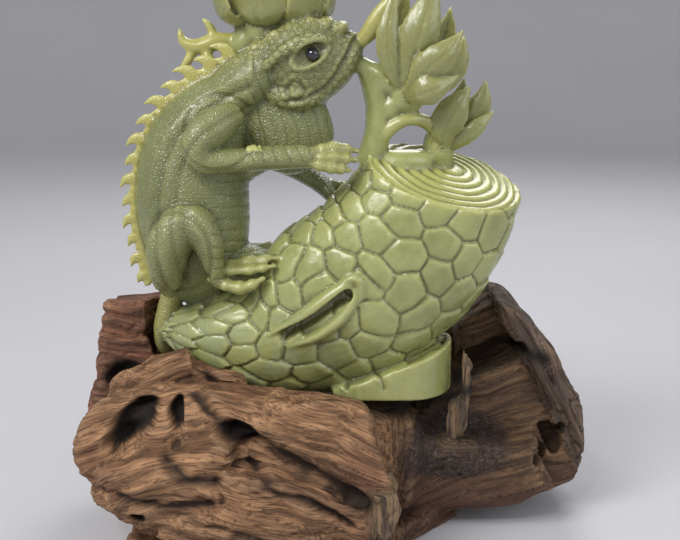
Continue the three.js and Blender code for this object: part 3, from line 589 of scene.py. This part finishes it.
warp = np.stack([noise(mm[on_trunk], 14, 3), noise(mm[on_trunk], 14, 4)], axis=1) * 2.2
first, second, nearest = cells(flat + warp, centres)
gap = second - first


# %% The share of the way from the innermost ring to the rim
def ring_share(x, y):
    width, length, cx, cy = 46.0, 41.0, 7.0, 11.0
    a = (cx / width) ** 2 + (cy / length) ** 2 - 1
    b = 2 * (cx * (x - cx) / width**2 + cy * (y - cy) / length**2)
    c = ((x - cx) / width) ** 2 + ((y - cy) / length) ** 2
    return (-b - np.sqrt(np.maximum(b * b - 4 * a * c, 0))) / (2 * a)


share_out = ring_share(right, back)
fade = np.where(on_face, ramp(share_out, 0.86, 0.97), 1.0)[on_trunk]
bark = fade * (kind[on_trunk] == 0)
far_side = ramp(mm[on_trunk, 1], 8, 26)
tail_end = 1 - ramp(mm[on_trunk, 0], -80, -45)
depth_of_cut = 1.45 * (1 - 0.5 * far_side) * (1 - 0.35 * tail_end)
groove = np.zeros(len(co))
height = np.zeros(len(co))
worn_away = 0.72 + 0.35 * noise(mm[on_trunk], 16, 8)
groove_width = 2.1 + 1.6 * ramp(noise(mm[on_trunk], 12, 7), -0.5, 0.8)
cut = np.clip(worn_away, 0.25, 1.15) * (1 - ramp(gap, 0.2, groove_width))
groove[on_trunk] = cut * bark
strokes = noise(np.stack([along * 0.22, around, 0 * along], axis=1), 1.7, 13)
tilted = 0.085 * (along - centres[nearest, 0])
plate_top = -depth_of_cut * cut + tilted + 0.35 * (1 - ramp(first, 0, 11))
height[on_trunk] = bark * (plate_top + 0.4 * noise(mm[on_trunk], 9, 9) + 0.14 * strokes)
print("bark points:", int((bark > 0.5).sum()))

# %% Growth rings on the sawn face
face_points = np.flatnonzero(on_face)
share_here = share_out[face_points] + 0.012 * noise(mm[face_points], 9, 5)
ring_cut = np.zeros(len(face_points))
for place in (0.17, 0.30, 0.43, 0.56, 0.68, 0.79, 0.89):
    ring_cut = np.maximum(ring_cut, bell((share_here - place) * 38, 0.85))
height[face_points] += -1.15 * ring_cut + 0.8 * (share_here - 0.5)
groove[face_points] = np.maximum(groove[face_points], ring_cut * 0.75)

# %% [markdown]
# ## Carving the lizard
# The skin folds follow the back, the throat hangs in creases, and the head has a mouth
# line, lids round the eye and plates on the cheek. Each is one field in the side view.

# %% Folds of the body
side_view = mm[:, [0, 2]]
on_skin = is_kind("skin")
back_line = BACK[:, [0, 2]]
from_back = to_line(side_view, back_line)
fold = 0.9 * bell(from_back - 8, 3.0) - 0.8 * bell(from_back - 13.5, 1.3)
fold = fold + 0.6 * bell(from_back - 18, 3) - 0.6 * bell(from_back - 23, 1.2)
body_only = on_skin & (mm[:, 0] < -45) & (mm[:, 2] > 60)
height += np.where(body_only, fold, 0)
belly = np.abs(((mm[:, 2] + 3 * noise(mm, 20, 6)) / 6.5) % 1.0 - 0.5) * 2
belly_zone = on_skin & (mm[:, 0] > -66) & (mm[:, 0] < -38) & (mm[:, 2] > 58) & (mm[:, 2] < 122)
height += np.where(belly_zone, -0.55 * ramp(belly, 0.7, 1.0), 0)
shoulder = np.abs(np.hypot(mm[:, 0] + 62, mm[:, 2] - 143) - 18.5)
height += np.where(on_skin & (mm[:, 1] < -8), -0.9 * bell(shoulder, 1.3), 0)
hip = np.abs(np.hypot(mm[:, 0] + 84, (mm[:, 2] - 80) * 0.75) - 17.5)
height += np.where(on_skin & (mm[:, 1] < -6) & (mm[:, 2] < 105), -0.9 * bell(hip, 1.3), 0)
throat = on_skin & (mm[:, 0] > -48) & (mm[:, 2] > 128)
crease = np.abs(((mm[:, 0] + 0.25 * mm[:, 2] + 2 * noise(mm, 15, 8)) / 6.0) % 1.0 - 0.5) * 2
height += np.where(throat, -0.7 * ramp(crease, 0.7, 1.0), 0)

# %% Face of the lizard
on_head = is_kind("head")
mouth = [(13, 197), (6.5, 188.5), (3, 180.5), (-2, 172), (-8, 165), (-18, 159.5), (-28, 158)]
from_mouth = to_line(side_view, mouth)
flank = np.abs(mm[:, 1] - 3) > 3
height += np.where(on_head & flank, -1.2 * bell(from_mouth, 0.9) + 0.5 * bell(from_mouth - 2.6, 1.5), 0)
groove = np.maximum(groove, np.where(on_head & flank, bell(from_mouth, 1.1), 0))
EYE = np.array([-14.0, 182.0])
tilt_in = math.radians(32)
ex = (side_view[:, 0] - EYE[0] + 1.5) * math.cos(tilt_in) + (side_view[:, 1] - EYE[1]) * math.sin(tilt_in)
ez = -(side_view[:, 0] - EYE[0] + 1.5) * math.sin(tilt_in) + (side_view[:, 1] - EYE[1]) * math.cos(tilt_in)
almond = np.hypot(ex / 8.5, ez / 4.6)
from_eye = np.linalg.norm(side_view - EYE, axis=1)
sides_of_head = on_head & (np.abs(mm[:, 1] - 3) > 10)
eyelids = -1.3 * (1 - ramp(almond, 0.75, 1.1)) + 0.9 * bell(almond - 1.25, 0.2)
height += np.where(sides_of_head, eyelids - 1.2 * (1 - ramp(from_eye, 2.6, 3.4)), 0)
groove = np.maximum(groove, np.where(sides_of_head, 0.8 * (1 - ramp(almond, 0.6, 1.1)), 0))
scale_centres = []
for i in range(20):
    for j in range(20):
        across_head = -56 + (i + 0.5 * (j % 2)) * 4.8 + rng.uniform(-1.2, 1.2)
        scale_centres.append([across_head, 146 + j * 3.6 + rng.uniform(-1.0, 1.0)])
head_points = np.flatnonzero(on_head)
h1, h2, _ = cells(side_view[head_points], np.array(scale_centres))
calm = ramp(almond[head_points], 1.1, 1.5) * ramp(np.abs(mm[head_points, 1] - 3), 4, 9)
height[head_points] += calm * (-0.45 * (1 - ramp(h2 - h1, 0.1, 1.0)) + 0.12 * (1 - ramp(h1, 0, 3.0)))
groove[head_points] = np.maximum(groove[head_points], calm * 0.6 * (1 - ramp(h2 - h1, 0.1, 1.2)))
cheek = np.linalg.norm(side_view - [-23, 163.5], axis=1)
ear = 1 - ramp(cheek, 2.0, 4.0) - 0.6 * bell(cheek - 4.6, 0.7) + 0.4 * bell(cheek - 7, 1.2)
height += np.where(sides_of_head, ear, 0)
nostril = np.linalg.norm(side_view - [4.5, 192.5], axis=1)
height += np.where(on_head & flank, -1.0 * bell(nostril, 1.1), 0)
groove = np.maximum(groove, np.where(on_head & flank, bell(nostril, 1.1), 0))

# %% Petal veins, toes and the knothole
on_petal = is_kind("petal")
middle = ramp(petal_t, 0.05, 0.3) * (1 - ramp(petal_t, 0.8, 0.97))
veins = np.abs(((petal_t * 9 - np.abs(petal_across) * 2.2) % 1.0) - 0.5) * 2
dish = -0.75 * (1 - petal_across**2) - 0.45 * bell(petal_across, 0.10) - 0.16 * ramp(veins, 0.7, 1.0)
height += np.where(on_petal, middle * dish, 0)
height += np.where(is_kind("toe"), 0.35 * np.cos(petal_t * 26), 0)
slot = to_line(mm, [(-30, -31, 36), (-13, -34, 47.5), (3, -35, 60)])
in_slot = is_kind("trunk", "lip")
height += np.where(in_slot, -4.2 * (1 - ramp(slot, 1.5, 4.2)), 0)
groove = np.maximum(groove, np.where(in_slot, 1 - ramp(slot, 2.5, 4.5), 0))
height += 0.16 * noise(mm, 6, 11)

co = co + normals * (height * MM)[:, None]
co = smooth(co, links, 0.25, 1)
set_points(skin, co)
normals = normals_of(skin)
fine_cavity, broad_cavity = cavities(co, links, normals, 16, 70)
print("cavities: fine up to %.2f mm, broad up to %.2f mm" % (fine_cavity.max(), broad_cavity.max()))

# %% [markdown]
# ## Colours for the stone
# Jade shows where it is thin, where it is cut and which tool finished it. The yellow at thin parts is a
# painted glow of light passing through, the darker grooves and hollows are partly painted shade and partly
# dirt and wax, and the paler ridges are painted light. These facts are kept on the points as named
# attributes, and the material reads them.

# %% Attributes and a lighter mesh
def keep(mesh, name, values):
    layer = mesh.attributes.new(name, "FLOAT", "POINT")
    layer.data.foreach_set("value", np.clip(values, 0, 1).astype(np.float32))


sawn_rim = np.where(kind == 0, ramp(from_face, -2.5, -0.2), 0)
# Yellow where the stone is thin: a painted glow of light passing through.
keep(skin, "thin", thin)
# Darker along grooves, rings, the mouth line and round the eye: partly dirt and wax in the cuts, partly
# painted shade.
keep(skin, "groove", groove)
keep(skin, "scaly", np.where(is_kind("skin", "head"), 1.0, np.where(is_kind("toe", "crest"), 0.5, 0.0)))
keep(skin, "petal", on_petal.astype(float))
keep(skin, "sawn", sawn_rim)
# Darker in the hollows: partly dirt and wax settled there, partly painted shade.
keep(skin, "hollow_shade", ramp(fine_cavity, 0.05, 0.5) * 0.6 + ramp(broad_cavity, 0.15, 1.8))
# Paler on ridges and sharp edges: painted light.
keep(skin, "ridge_light", ramp(-fine_cavity, 0.08, 0.5))


TRIANGLE_LIMIT = 194000


def lighten(thing, limit):
    faces = sum(len(p.vertices) - 2 for p in thing.data.polygons)
    if faces > limit:
        thinner = thing.modifiers.new("lighten", "DECIMATE")
        thinner.ratio = limit / faces
        applied(thing)
    for p in thing.data.polygons:
        p.use_smooth = True
    print(thing.name, "triangles:", sum(len(p.vertices) - 2 for p in thing.data.polygons))


lighten(jade, TRIANGLE_LIMIT)


# %% [markdown]
# ## The jade material
# Polished serpentine: yellow-green, a little cloudy, lit from inside. Subsurface gives
# the glow, a low roughness and a thin coat the polish. The lizard's skin has a fine grain
# of scales, which is a bump because no mesh this light could hold it.

# %% A small kit for materials
class Shader:
    def __init__(self, name):
        self.material = bpy.data.materials.new(name)
        self.material.use_nodes = True
        self.tree = self.material.node_tree
        self.bsdf = self.tree.nodes["Principled BSDF"]
        self.place = self.add("ShaderNodeTexCoord").outputs["Object"]

    def add(self, kind, links=(), **values):
        node = self.tree.nodes.new(kind)
        for key, value in values.items():
            setattr(node, key, value)
        for socket, source in dict(links).items():
            if isinstance(source, bpy.types.NodeSocket):
                self.tree.links.new(source, node.inputs[socket])
            else:
                node.inputs[socket].default_value = source
        return node

    def attribute(self, name, part="Fac"):
        return self.add("ShaderNodeAttribute", attribute_name=name).outputs[part]

    def noise(self, scale, detail=4.0, rough=0.55, place=None):
        links = {"Vector": place or self.place, "Scale": scale, "Detail": detail, "Roughness": rough}
        return self.add("ShaderNodeTexNoise", links).outputs["Fac"]

    def stretched(self, size, place=None, turn=(0, 0, 0)):
        links = {"Vector": place or self.place, "Scale": size, "Rotation": turn}
        return self.add("ShaderNodeMapping", links).outputs["Vector"]

    def math(self, operation, a, b=0.0, c=0.0):
        return self.add("ShaderNodeMath", {0: a, 1: b, 2: c}, operation=operation).outputs[0]

    def ramp(self, source, low, high):
        links = {"Value": source, "From Min": low, "From Max": high}
        return self.add("ShaderNodeMapRange", links, interpolation_type="SMOOTHSTEP").outputs["Result"]

    def mix(self, share, a, b):
        node = self.tree.nodes.new("ShaderNodeMix")
        node.data_type = "RGBA"
        for socket, source in ((node.inputs[0], share), (node.inputs[6], a), (node.inputs[7], b)):
            if isinstance(source, bpy.types.NodeSocket):
                self.tree.links.new(source, socket)
            elif isinstance(source, (tuple, list)):
                socket.default_value = (*source, 1.0)
            else:
                socket.default_value = source
        return node.outputs[2]

    def tinted(self, colour, name, weight, tint):
        return self.mix(self.math("MULTIPLY", self.attribute(name), weight), colour, tint)

    def bump(self, height, strength, distance, normal=None):
        links = {"Height": height, "Strength": strength, "Distance": distance}
        if normal is not None:
            links["Normal"] = normal
        return self.add("ShaderNodeBump", links).outputs["Normal"]

    def finish(self, thing, **sockets):
        for name, source in sockets.items():
            socket = self.bsdf.inputs[name.replace("_", " ")]
            if isinstance(source, bpy.types.NodeSocket):
                self.tree.links.new(source, socket)
            else:
                socket.default_value = source
        thing.data.materials.clear()
        thing.data.materials.append(self.material)


# %% The jade material
stone = Shader("polished_jade")
cloud = stone.ramp(stone.noise(28, 5), 0.3, 0.7)
fleck = stone.ramp(stone.noise(120, 4), 0.35, 0.7)
colour = stone.mix(cloud, (0.235, 0.255, 0.085), (0.375, 0.400, 0.150))
colour = stone.mix(stone.math("MULTIPLY", fleck, 0.3), colour, (0.42, 0.44, 0.18))
split = stone.add("ShaderNodeSeparateXYZ", {0: stone.place})
low, left = stone.ramp(split.outputs[2], 0.150, 0.085), stone.ramp(split.outputs[0], 0.030, -0.030)
low_left = stone.math("MULTIPLY", low, left)
grey = stone.math("MULTIPLY", low_left, stone.ramp(stone.noise(60, 3), 0.4, 0.62))
colour = stone.mix(stone.math("MULTIPLY", grey, 0.6), colour, (0.25, 0.31, 0.20))
colour = stone.tinted(colour, "scaly", 0.65, (0.118, 0.130, 0.050))
colour = stone.tinted(colour, "sawn", 0.6, (0.50, 0.51, 0.15))
# Yellow at thin parts: a painted glow of light passing through the stone.
colour = stone.tinted(colour, "thin", 0.7, (0.52, 0.46, 0.11))
colour = stone.tinted(colour, "petal", 0.65, (0.185, 0.198, 0.078))
# Paler on ridges and sharp edges: painted light.
colour = stone.tinted(colour, "ridge_light", 0.4, (0.50, 0.50, 0.20))
# Darker in grooves and cut lines: partly dirt and wax, partly painted shade.
colour = stone.tinted(colour, "groove", 0.5, (0.135, 0.120, 0.030))
# Darker in the hollows: partly painted shade, partly dirt and wax.
colour = stone.tinted(colour, "hollow_shade", 0.6, (0.060, 0.064, 0.020))
scale_cells = stone.add(
    "ShaderNodeTexVoronoi", {"Vector": stone.place, "Scale": 620.0}, feature="DISTANCE_TO_EDGE"
)
scales = scale_cells.outputs["Distance"]
scale_height = stone.math("MULTIPLY", stone.ramp(scales, 0.0, 0.35), stone.attribute("scaly"))
strokes = stone.noise(1.0, 3, place=stone.stretched((300, 300, 2400), turn=(0.4, 0.9, 0)))
plain = stone.math("SUBTRACT", 1.0, stone.attribute("scaly"))
normal = stone.bump(scale_height, 0.55, 0.0005)
normal = stone.bump(stone.math("MULTIPLY", strokes, plain), 0.22, 0.0004, normal)
roughness = stone.ramp(stone.noise(300, 3), 0.2, 0.9)
polish = {"Value": roughness, "To Min": 0.19, "To Max": 0.36}
roughness = stone.add("ShaderNodeMapRange", polish).outputs["Result"]
stone.finish(
    jade, Base_Color=colour, Roughness=roughness, Normal=normal, IOR=1.57, Subsurface_Weight=0.25,
    Subsurface_Radius=(1.0, 0.95, 0.6), Subsurface_Scale=0.0025, Coat_Weight=0.2, Coat_Roughness=0.12,
)
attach(jade, "root")
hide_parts("jade_carving")

# %% [markdown]
# ## The eyes
# Each eye is a small black bead, polished like glass, in a drilled socket. The packed
# bead is a faceted ball, so a smooth ball of the same size takes its place.

# %% The eyes
EYE_RADIUS = 0.0033
onyx = Shader("black_bead")
mottle = onyx.ramp(onyx.noise(300, 2), 0.4, 0.6)
depth_tone = onyx.mix(mottle, (0.004, 0.006, 0.014), (0.012, 0.016, 0.032))
for side in ("near", "far"):
    low, high = (np.array(c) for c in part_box(side + "_eye_bead"))
    bead_bm = bmesh.new()
    bmesh.ops.create_uvsphere(bead_bm, u_segments=40, v_segments=28, radius=EYE_RADIUS)
    bmesh.ops.translate(bead_bm, verts=bead_bm.verts, vec=(low + high) / 2)
    bead_mesh = bpy.data.meshes.new(side + "_eye")
    bead_bm.to_mesh(bead_mesh)
    for p in bead_mesh.polygons:
        p.use_smooth = True
    bead = plain_object(side + "_eye", bead_mesh)
    onyx.finish(bead, Base_Color=depth_tone, Roughness=0.04, Coat_Weight=1.0, Coat_Roughness=0.02)
    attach(bead, "root")
    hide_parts(side + "_eye_bead")

# %% [markdown]
# ## The root wood
# The stand is weathered root wood: a golden front lobe with dark holes, a reddish block
# behind on the left, and dark sawn blocks on the right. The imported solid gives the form.
# Its copy is melted to an even skin and worn along the grain.

# %% Melting the stand
WOOD_VOXEL = 0.00115
packed = [o for o in bpy.data.objects if o.type == "MESH"]
cad_wood = next(o for o in packed if o.name.startswith("root_wood_stand"))
wood_bm = bmesh.new()
wood_bm.from_mesh(cad_wood.data)
bmesh.ops.remove_doubles(wood_bm, verts=wood_bm.verts, dist=1e-6)
wood_mesh = bpy.data.meshes.new("root_wood")
wood_bm.to_mesh(wood_mesh)
root = plain_object("root_wood", wood_mesh)
bark_skin = melt(root, WOOD_VOXEL)
wco = smooth(points_of(bark_skin), edges_of(bark_skin), 0.6, 6)
set_points(bark_skin, wco)
wn = normals_of(bark_skin)
wmm = wco / MM
print("melted wood:", len(wco), "points")

# %% [markdown]
# ## Wearing the wood
# Wood wears away between its fibres, so the furrows run along the grain. The noise is
# stretched along the grain of each part, and bent by a slower noise, which makes the
# lines flow round the holes as in a real root.

# %% Which part of the root a point belongs to
x, y, z = wmm.T
front = ramp(-y, 6, 30) * (1 - ramp(x, 24, 36))
rear = ramp(-x, 74, 90) * ramp(y, -12, 0) * ramp(z, 40, 62)
edge_place = 0.89 * x + 0.45 * z
slab = ramp(edge_place, 129.5, 133) * ramp(y, -40, -20)
from_twig = np.hypot((x - 65) / 11, (y + 21) / 13)
twig = (1 - ramp(from_twig, 0.9, 1.2)) * ramp(z, 42, 52) * (1 - ramp(x, 74, 78))
grainy = 1 - ramp(np.hypot((x - 62) / 32, (z - 46) / 17), 0.75, 1.1)
grainy *= ramp(-y, -6, 4) * (1 - front) * (1 - twig)
sawn_end = ramp(x, 12, 17) * (1 - ramp(x, 30, 34)) * ramp(-y, 50, 62) * (1 - ramp(z, 47, 52))
places = {"front": front, "rear": rear, "slab": slab, "twig": twig, "grainy": grainy, "sawn end": sawn_end}
print("parts of the root, in points:", {n: int((m > 0.5).sum()) for n, m in places.items()})

# %% The fibres
bend = np.stack([noise(wmm, 45, s) for s in (21, 22, 23)], axis=1) * 6
bend = bend + np.stack([noise(wmm, 14, s) for s in (24, 25, 26)], axis=1) * 2.2
fibre = z + 0.42 * np.sqrt((x + 62) ** 2 + 15**2) * front - 0.34 * x * (1 - front) * (1 - rear)
fibre = fibre + bend[:, 2]
fibre = fibre * (1 - slab) + (edge_place + 0.5 * bend[:, 0]) * slab
fibre = fibre * (1 - twig) + (x * 1.4 + 0.2 * bend[:, 0]) * twig
fibre = fibre * (1 - sawn_end) + (x * 1.6) * sawn_end
lengthwise = np.where(slab + twig + sawn_end > 0.5, z, x) + bend[:, 0]
flow = np.stack([lengthwise * 0.09, (y + bend[:, 1]) * 0.7, fibre], axis=1)
coarse, medium, fine_lines = noise(flow, 8.0, 33), noise(flow, 3.4, 31), noise(flow, 1.7, 32)
layers = noise(np.stack([x * 0.12, y * 0.12, z + bend[:, 2] * 0.5], axis=1), 3.6, 34)
ridges = 1.1 * coarse + 0.8 * medium + 0.45 * fine_lines
splits = 1 - ramp(np.abs(medium + 0.3 * coarse), 0.02, 0.14)
lumps = noise(wmm, 24, 35) * 2.0 + noise(wmm, 10, 36) * 0.9
worn = ridges * (0.85 * front + 0.75 * (1 - front)) + rear * 1.5 * layers + lumps * (1 - twig)
worn -= splits * (0.9 + 0.5 * slab) * (1 - grainy)
worn += grainy * (0.6 * noise(wmm, 2.2, 37) - 0.3 - 0.6 * ridges)

# %% Ridges, cracks and pits of the front lobe
RAISED = [
    ([(-76, 99), (-66, 91), (-56, 83), (-58, 73), (-66, 64)], 5.0, 3.6),
    ([(-63, 64), (-47, 65), (-33, 55), (-19, 45), (-11, 38)], 4.0, 3.2),
    ([(-126, 62), (-122, 80), (-113, 96)], 4.5, 3.0),
    ([(-114, 56), (-98, 54), (-80, 60)], 5.0, 2.6),
    ([(-40, 86), (-20, 84), (0, 76), (14, 62)], 7.0, 2.4),
    ([(-100, 40), (-80, 34), (-55, 28), (-35, 20)], 7.0, 3.0),
]
SUNKEN = [
    ([(-76, 97), (-65, 87), (-53, 79)], 2.0, 4.5),
    ([(-37, 73), (-19, 63), (0, 53), (13, 41)], 4.5, 5.5),
    ([(-45, 62), (-30, 51), (-14, 46), (6, 32)], 1.8, 3.8),
    ([(-84, 66), (-72, 56), (-60, 57)], 3.2, 3.2),
    ([(-106, 47), (-84, 42), (-62, 46)], 2.4, 2.4),
    ([(-50, 30), (-30, 26), (-8, 18)], 2.6, 3.0),
]
plan = wmm[:, [0, 2]]
front_face = front * ramp(-wn[:, 1], 0.0, 0.4)
# Painted shade gathers here: darkening of furrows, holes, a gap line and a knot hole.
painted_shade = np.zeros(len(wco))
for line, wide, high in RAISED:
    worn += high * front_face * bell(to_line(plan, line) + 1.2 * noise(wmm, 7, 43), wide)
for line, wide, deep in SUNKEN:
    near_line = bell(to_line(plan, line) + 0.8 * noise(wmm, 5, 44), wide)
    worn -= deep * front_face * near_line
    # The sunken furrows are darkened: painted shade.
    painted_shade = np.maximum(painted_shade, 0.75 * front_face * near_line)
pits = ramp(noise(wmm, 3.4, 41), 0.45, 0.8) * ramp(noise(wmm, 20, 42), 0.0, 0.4)
worn -= 1.2 * pits
worn -= 4.0 * (1 - ramp(np.hypot(x - 109, z - 40), 2.0, 4.5)) * ramp(-y, -10, 10)

# %% Deep holes, worn in from the front
HOLES = [
    ((-102, 78), 44, 19, 8.5, 15), ((-80, 84), 84, 8.5, 4.8, 11), ((-46, 75), -16, 17, 6.5, 15),
    ((-99, 34), 20, 6, 4, 6), ((-30, 14), -10, 6, 4, 5),
]
inward = np.zeros(len(wco))
for (cx, cz), lean, long, wide, deep in HOLES:
    c, s = math.cos(math.radians(lean)), math.sin(math.radians(lean))
    px, pz = x - cx + 1.5 * noise(wmm, 9, 45), z - cz + 1.2 * noise(wmm, 9, 46)
    inside = 1 - ramp(np.hypot((px * c + pz * s) / long, (pz * c - px * s) / wide), 0.45, 1.05)
    inward += deep * inside * ramp(-y, 45, 60)
    # The insides of the holes are darkened: painted shade.
    painted_shade = np.maximum(painted_shade, ramp(inside * ramp(-y, 45, 60), 0.15, 0.7))
rear_hole = np.linalg.norm((wmm - [-121, 6, 80]) / [14, 14, 11], axis=1)
# Painted shade in the hole at the back left.
painted_shade = np.maximum(painted_shade, 1 - ramp(rear_hole, 0.6, 1.15))
# Painted shadow on the wood under the stone where it sits.
seat_shadow = (1 - ramp(np.hypot((x - 14) / 62, y / 34), 0.85, 1.1)) * ramp(z, 58, 66)
gap_line = to_line(plan, [(56, 72), (77, 83), (102, 96), (112, 92)])
# Painted shade along the gap line on the right.
painted_shade = np.maximum(painted_shade, bell(gap_line, 4.0) * ramp(-y, -30, -10) * ramp(x, 50, 60))
# Painted shade in the small knot hole.
painted_shade = np.maximum(painted_shade, 0.8 * (1 - ramp(np.hypot(x - 109, z - 40), 2.0, 5.0)) * ramp(-y, -10, 10))

# %% The worn skin
seat = 1 - ramp(z, 62, 70) * (1 - ramp(np.hypot(x / 1.05, y * 1.3), 60, 75))
keep_flat = ramp(z, 0.6, 3.0)
wco = wco + wn * (worn * keep_flat * np.where(seat < 0.5, 0.15, 1.0) * MM)[:, None]
wco[:, 1] += inward * keep_flat * MM
wco[:, 2] = np.maximum(wco[:, 2], 0.0)
set_points(bark_skin, wco)
wood_links = edges_of(bark_skin)
wn = normals_of(bark_skin)
fine_cavity, broad_cavity = cavities(wco, wood_links, wn, 10, 50)
keep(bark_skin, "warm", front)
keep(bark_skin, "red", rear)
keep(bark_skin, "slab", slab)
keep(bark_skin, "twig", np.maximum(twig, sawn_end))
keep(bark_skin, "grainy", grainy)
# Painted shade in holes, furrows and gaps, and a painted shadow under the stone.
keep(bark_skin, "painted_shade", np.maximum(painted_shade, 0.8 * seat_shadow))
# Darker in the hollows: painted shade.
keep(bark_skin, "hollow_shade", 0.7 * ramp(fine_cavity, 0.1, 0.8) + ramp(broad_cavity, 0.6, 3.2))
# Paler on raised edges: painted highlight.
keep(bark_skin, "ridge_light", ramp(-fine_cavity, 0.15, 0.8))
keep(bark_skin, "low", (1 - ramp(z, 14, 44)) * (1 - front))
streaks = bark_skin.attributes.new("flow", "FLOAT_VECTOR", "POINT")
streak_values = np.stack([lengthwise * 0.05, (y + bend[:, 1]) * 0.5, fibre], axis=1) * MM
streaks.data.foreach_set("vector", streak_values.astype(np.float32).ravel())
lighten(root, TRIANGLE_LIMIT)

# %% The wood material
timber = Shader("root_wood")
flow_place = timber.attribute("flow", "Vector")
fine = timber.noise(1300, 6, 0.7, flow_place)
broad = timber.noise(240, 4, 0.6, flow_place)
patch = timber.noise(26, 3)
gold = timber.mix(timber.ramp(broad, 0.32, 0.66), (0.125, 0.058, 0.026), (0.50, 0.275, 0.140))
gold = timber.mix(timber.math("MULTIPLY", timber.ramp(patch, 0.5, 0.68), 0.6), gold, (0.20, 0.080, 0.045))
block = timber.mix(timber.ramp(broad, 0.34, 0.7), (0.045, 0.026, 0.016), (0.235, 0.135, 0.068))
block = timber.mix(timber.math("MULTIPLY", timber.attribute("low"), 0.8), block, (0.105, 0.046, 0.030))
ruddy = timber.mix(timber.ramp(broad, 0.3, 0.7), (0.070, 0.028, 0.018), (0.29, 0.125, 0.070))
bark_brown = timber.mix(timber.ramp(broad, 0.36, 0.68), (0.050, 0.034, 0.027), (0.165, 0.125, 0.100))
speck = timber.ramp(timber.noise(1100, 4), 0.44, 0.62)
pebbled = timber.mix(speck, (0.045, 0.030, 0.026), (0.165, 0.122, 0.108))
dry = timber.mix(timber.ramp(broad, 0.4, 0.6), (0.075, 0.055, 0.042), (0.30, 0.205, 0.115))
wood_colour = timber.mix(timber.attribute("warm"), block, gold)
for name, finish in (("red", ruddy), ("slab", bark_brown), ("grainy", pebbled), ("twig", dry)):
    wood_colour = timber.mix(timber.attribute(name), wood_colour, finish)
# Paler on raised edges: painted highlight.
wood_colour = timber.tinted(wood_colour, "ridge_light", 0.35, (0.46, 0.29, 0.165))
dark_fibres = timber.math("MULTIPLY", timber.ramp(fine, 0.56, 0.38), 0.75)
wood_colour = timber.mix(dark_fibres, wood_colour, (0.055, 0.026, 0.014))
# Darker in the hollows: painted shade.
wood_colour = timber.tinted(wood_colour, "hollow_shade", 0.85, (0.030, 0.015, 0.009))
# Near black where painted shade is set: holes, furrows, gaps and the shadow under the stone.
wood_colour = timber.tinted(wood_colour, "painted_shade", 0.95, (0.008, 0.006, 0.005))
wood_normal = timber.bump(fine, 0.8, 0.0014)
pebbles = timber.math("MULTIPLY", speck, timber.attribute("grainy"))
wood_normal = timber.bump(pebbles, 0.9, 0.0012, wood_normal)
wood_normal = timber.bump(timber.noise(900, 4), 0.25, 0.0006, wood_normal)
timber.finish(root, Base_Color=wood_colour, Roughness=0.68, Normal=wood_normal, Specular_IOR_Level=0.35)
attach(root, "root")
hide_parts("root_wood_stand")

# %% [markdown]
# ## Floor and light
# A plain pale table that curves up behind, and soft studio light. One large light stands
# above on the left, a weaker one on the right and one behind. A small one in front gives
# the polished stone its bright points.

# %% Floor and lights
floor_bm = bmesh.new()
BEND_START = 2.2
BEND_RADIUS = 1.5
profile = [(-9.0, 0.0), (BEND_START, 0.0)]
for a in np.linspace(0.1, math.pi / 2, 14):
    profile.append((BEND_START + BEND_RADIUS * math.sin(a), BEND_RADIUS - BEND_RADIUS * math.cos(a)))
profile.append((BEND_START + BEND_RADIUS, 5.0))
rows = [[floor_bm.verts.new((side, y, z)) for side in (-9.0, 9.0)] for y, z in profile]
for (left, right_end), (far_left, far_right) in zip(rows, rows[1:]):
    floor_bm.faces.new((left, right_end, far_right, far_left))
floor_mesh = bpy.data.meshes.new("floor")
floor_bm.to_mesh(floor_mesh)
floor = plain_object("floor", floor_mesh)
for face in floor_mesh.polygons:
    face.use_smooth = True
pale = Shader("pale_table")
tone = pale.mix(pale.noise(3, 3), (0.52, 0.515, 0.54), (0.58, 0.575, 0.60))
pale.finish(floor, Base_Color=tone, Roughness=0.6)


def lamp(name, place, size, power, colour=(1, 1, 1)):
    data = bpy.data.lights.new(name, "AREA")
    data.shape = "DISK"
    data.size = size
    data.energy = power
    data.color = colour
    thing = bpy.data.objects.new(name, data)
    thing.location = place
    thing.rotation_euler = (Vector((0, 0, 0.14)) - Vector(place)).to_track_quat("-Z", "Y").to_euler()
    bpy.context.collection.objects.link(thing)


lamp("window", (-0.9, -0.8, 1.3), 0.8, 17, (1.0, 0.99, 0.97))
lamp("fill", (1.2, -0.7, 0.8), 1.0, 5, (0.96, 0.98, 1.0))
lamp("back", (0.3, 1.1, 1.2), 0.8, 8)
lamp("spark", (-0.25, -0.8, 0.9), 0.10, 1.8)
world = bpy.data.worlds.new("studio")
world.use_nodes = True
world.node_tree.nodes["Background"].inputs["Color"].default_value = (0.80, 0.81, 0.84, 1)
world.node_tree.nodes["Background"].inputs["Strength"].default_value = 0.62
bpy.context.scene.world = world
bpy.context.scene.view_settings.view_transform = "Standard"
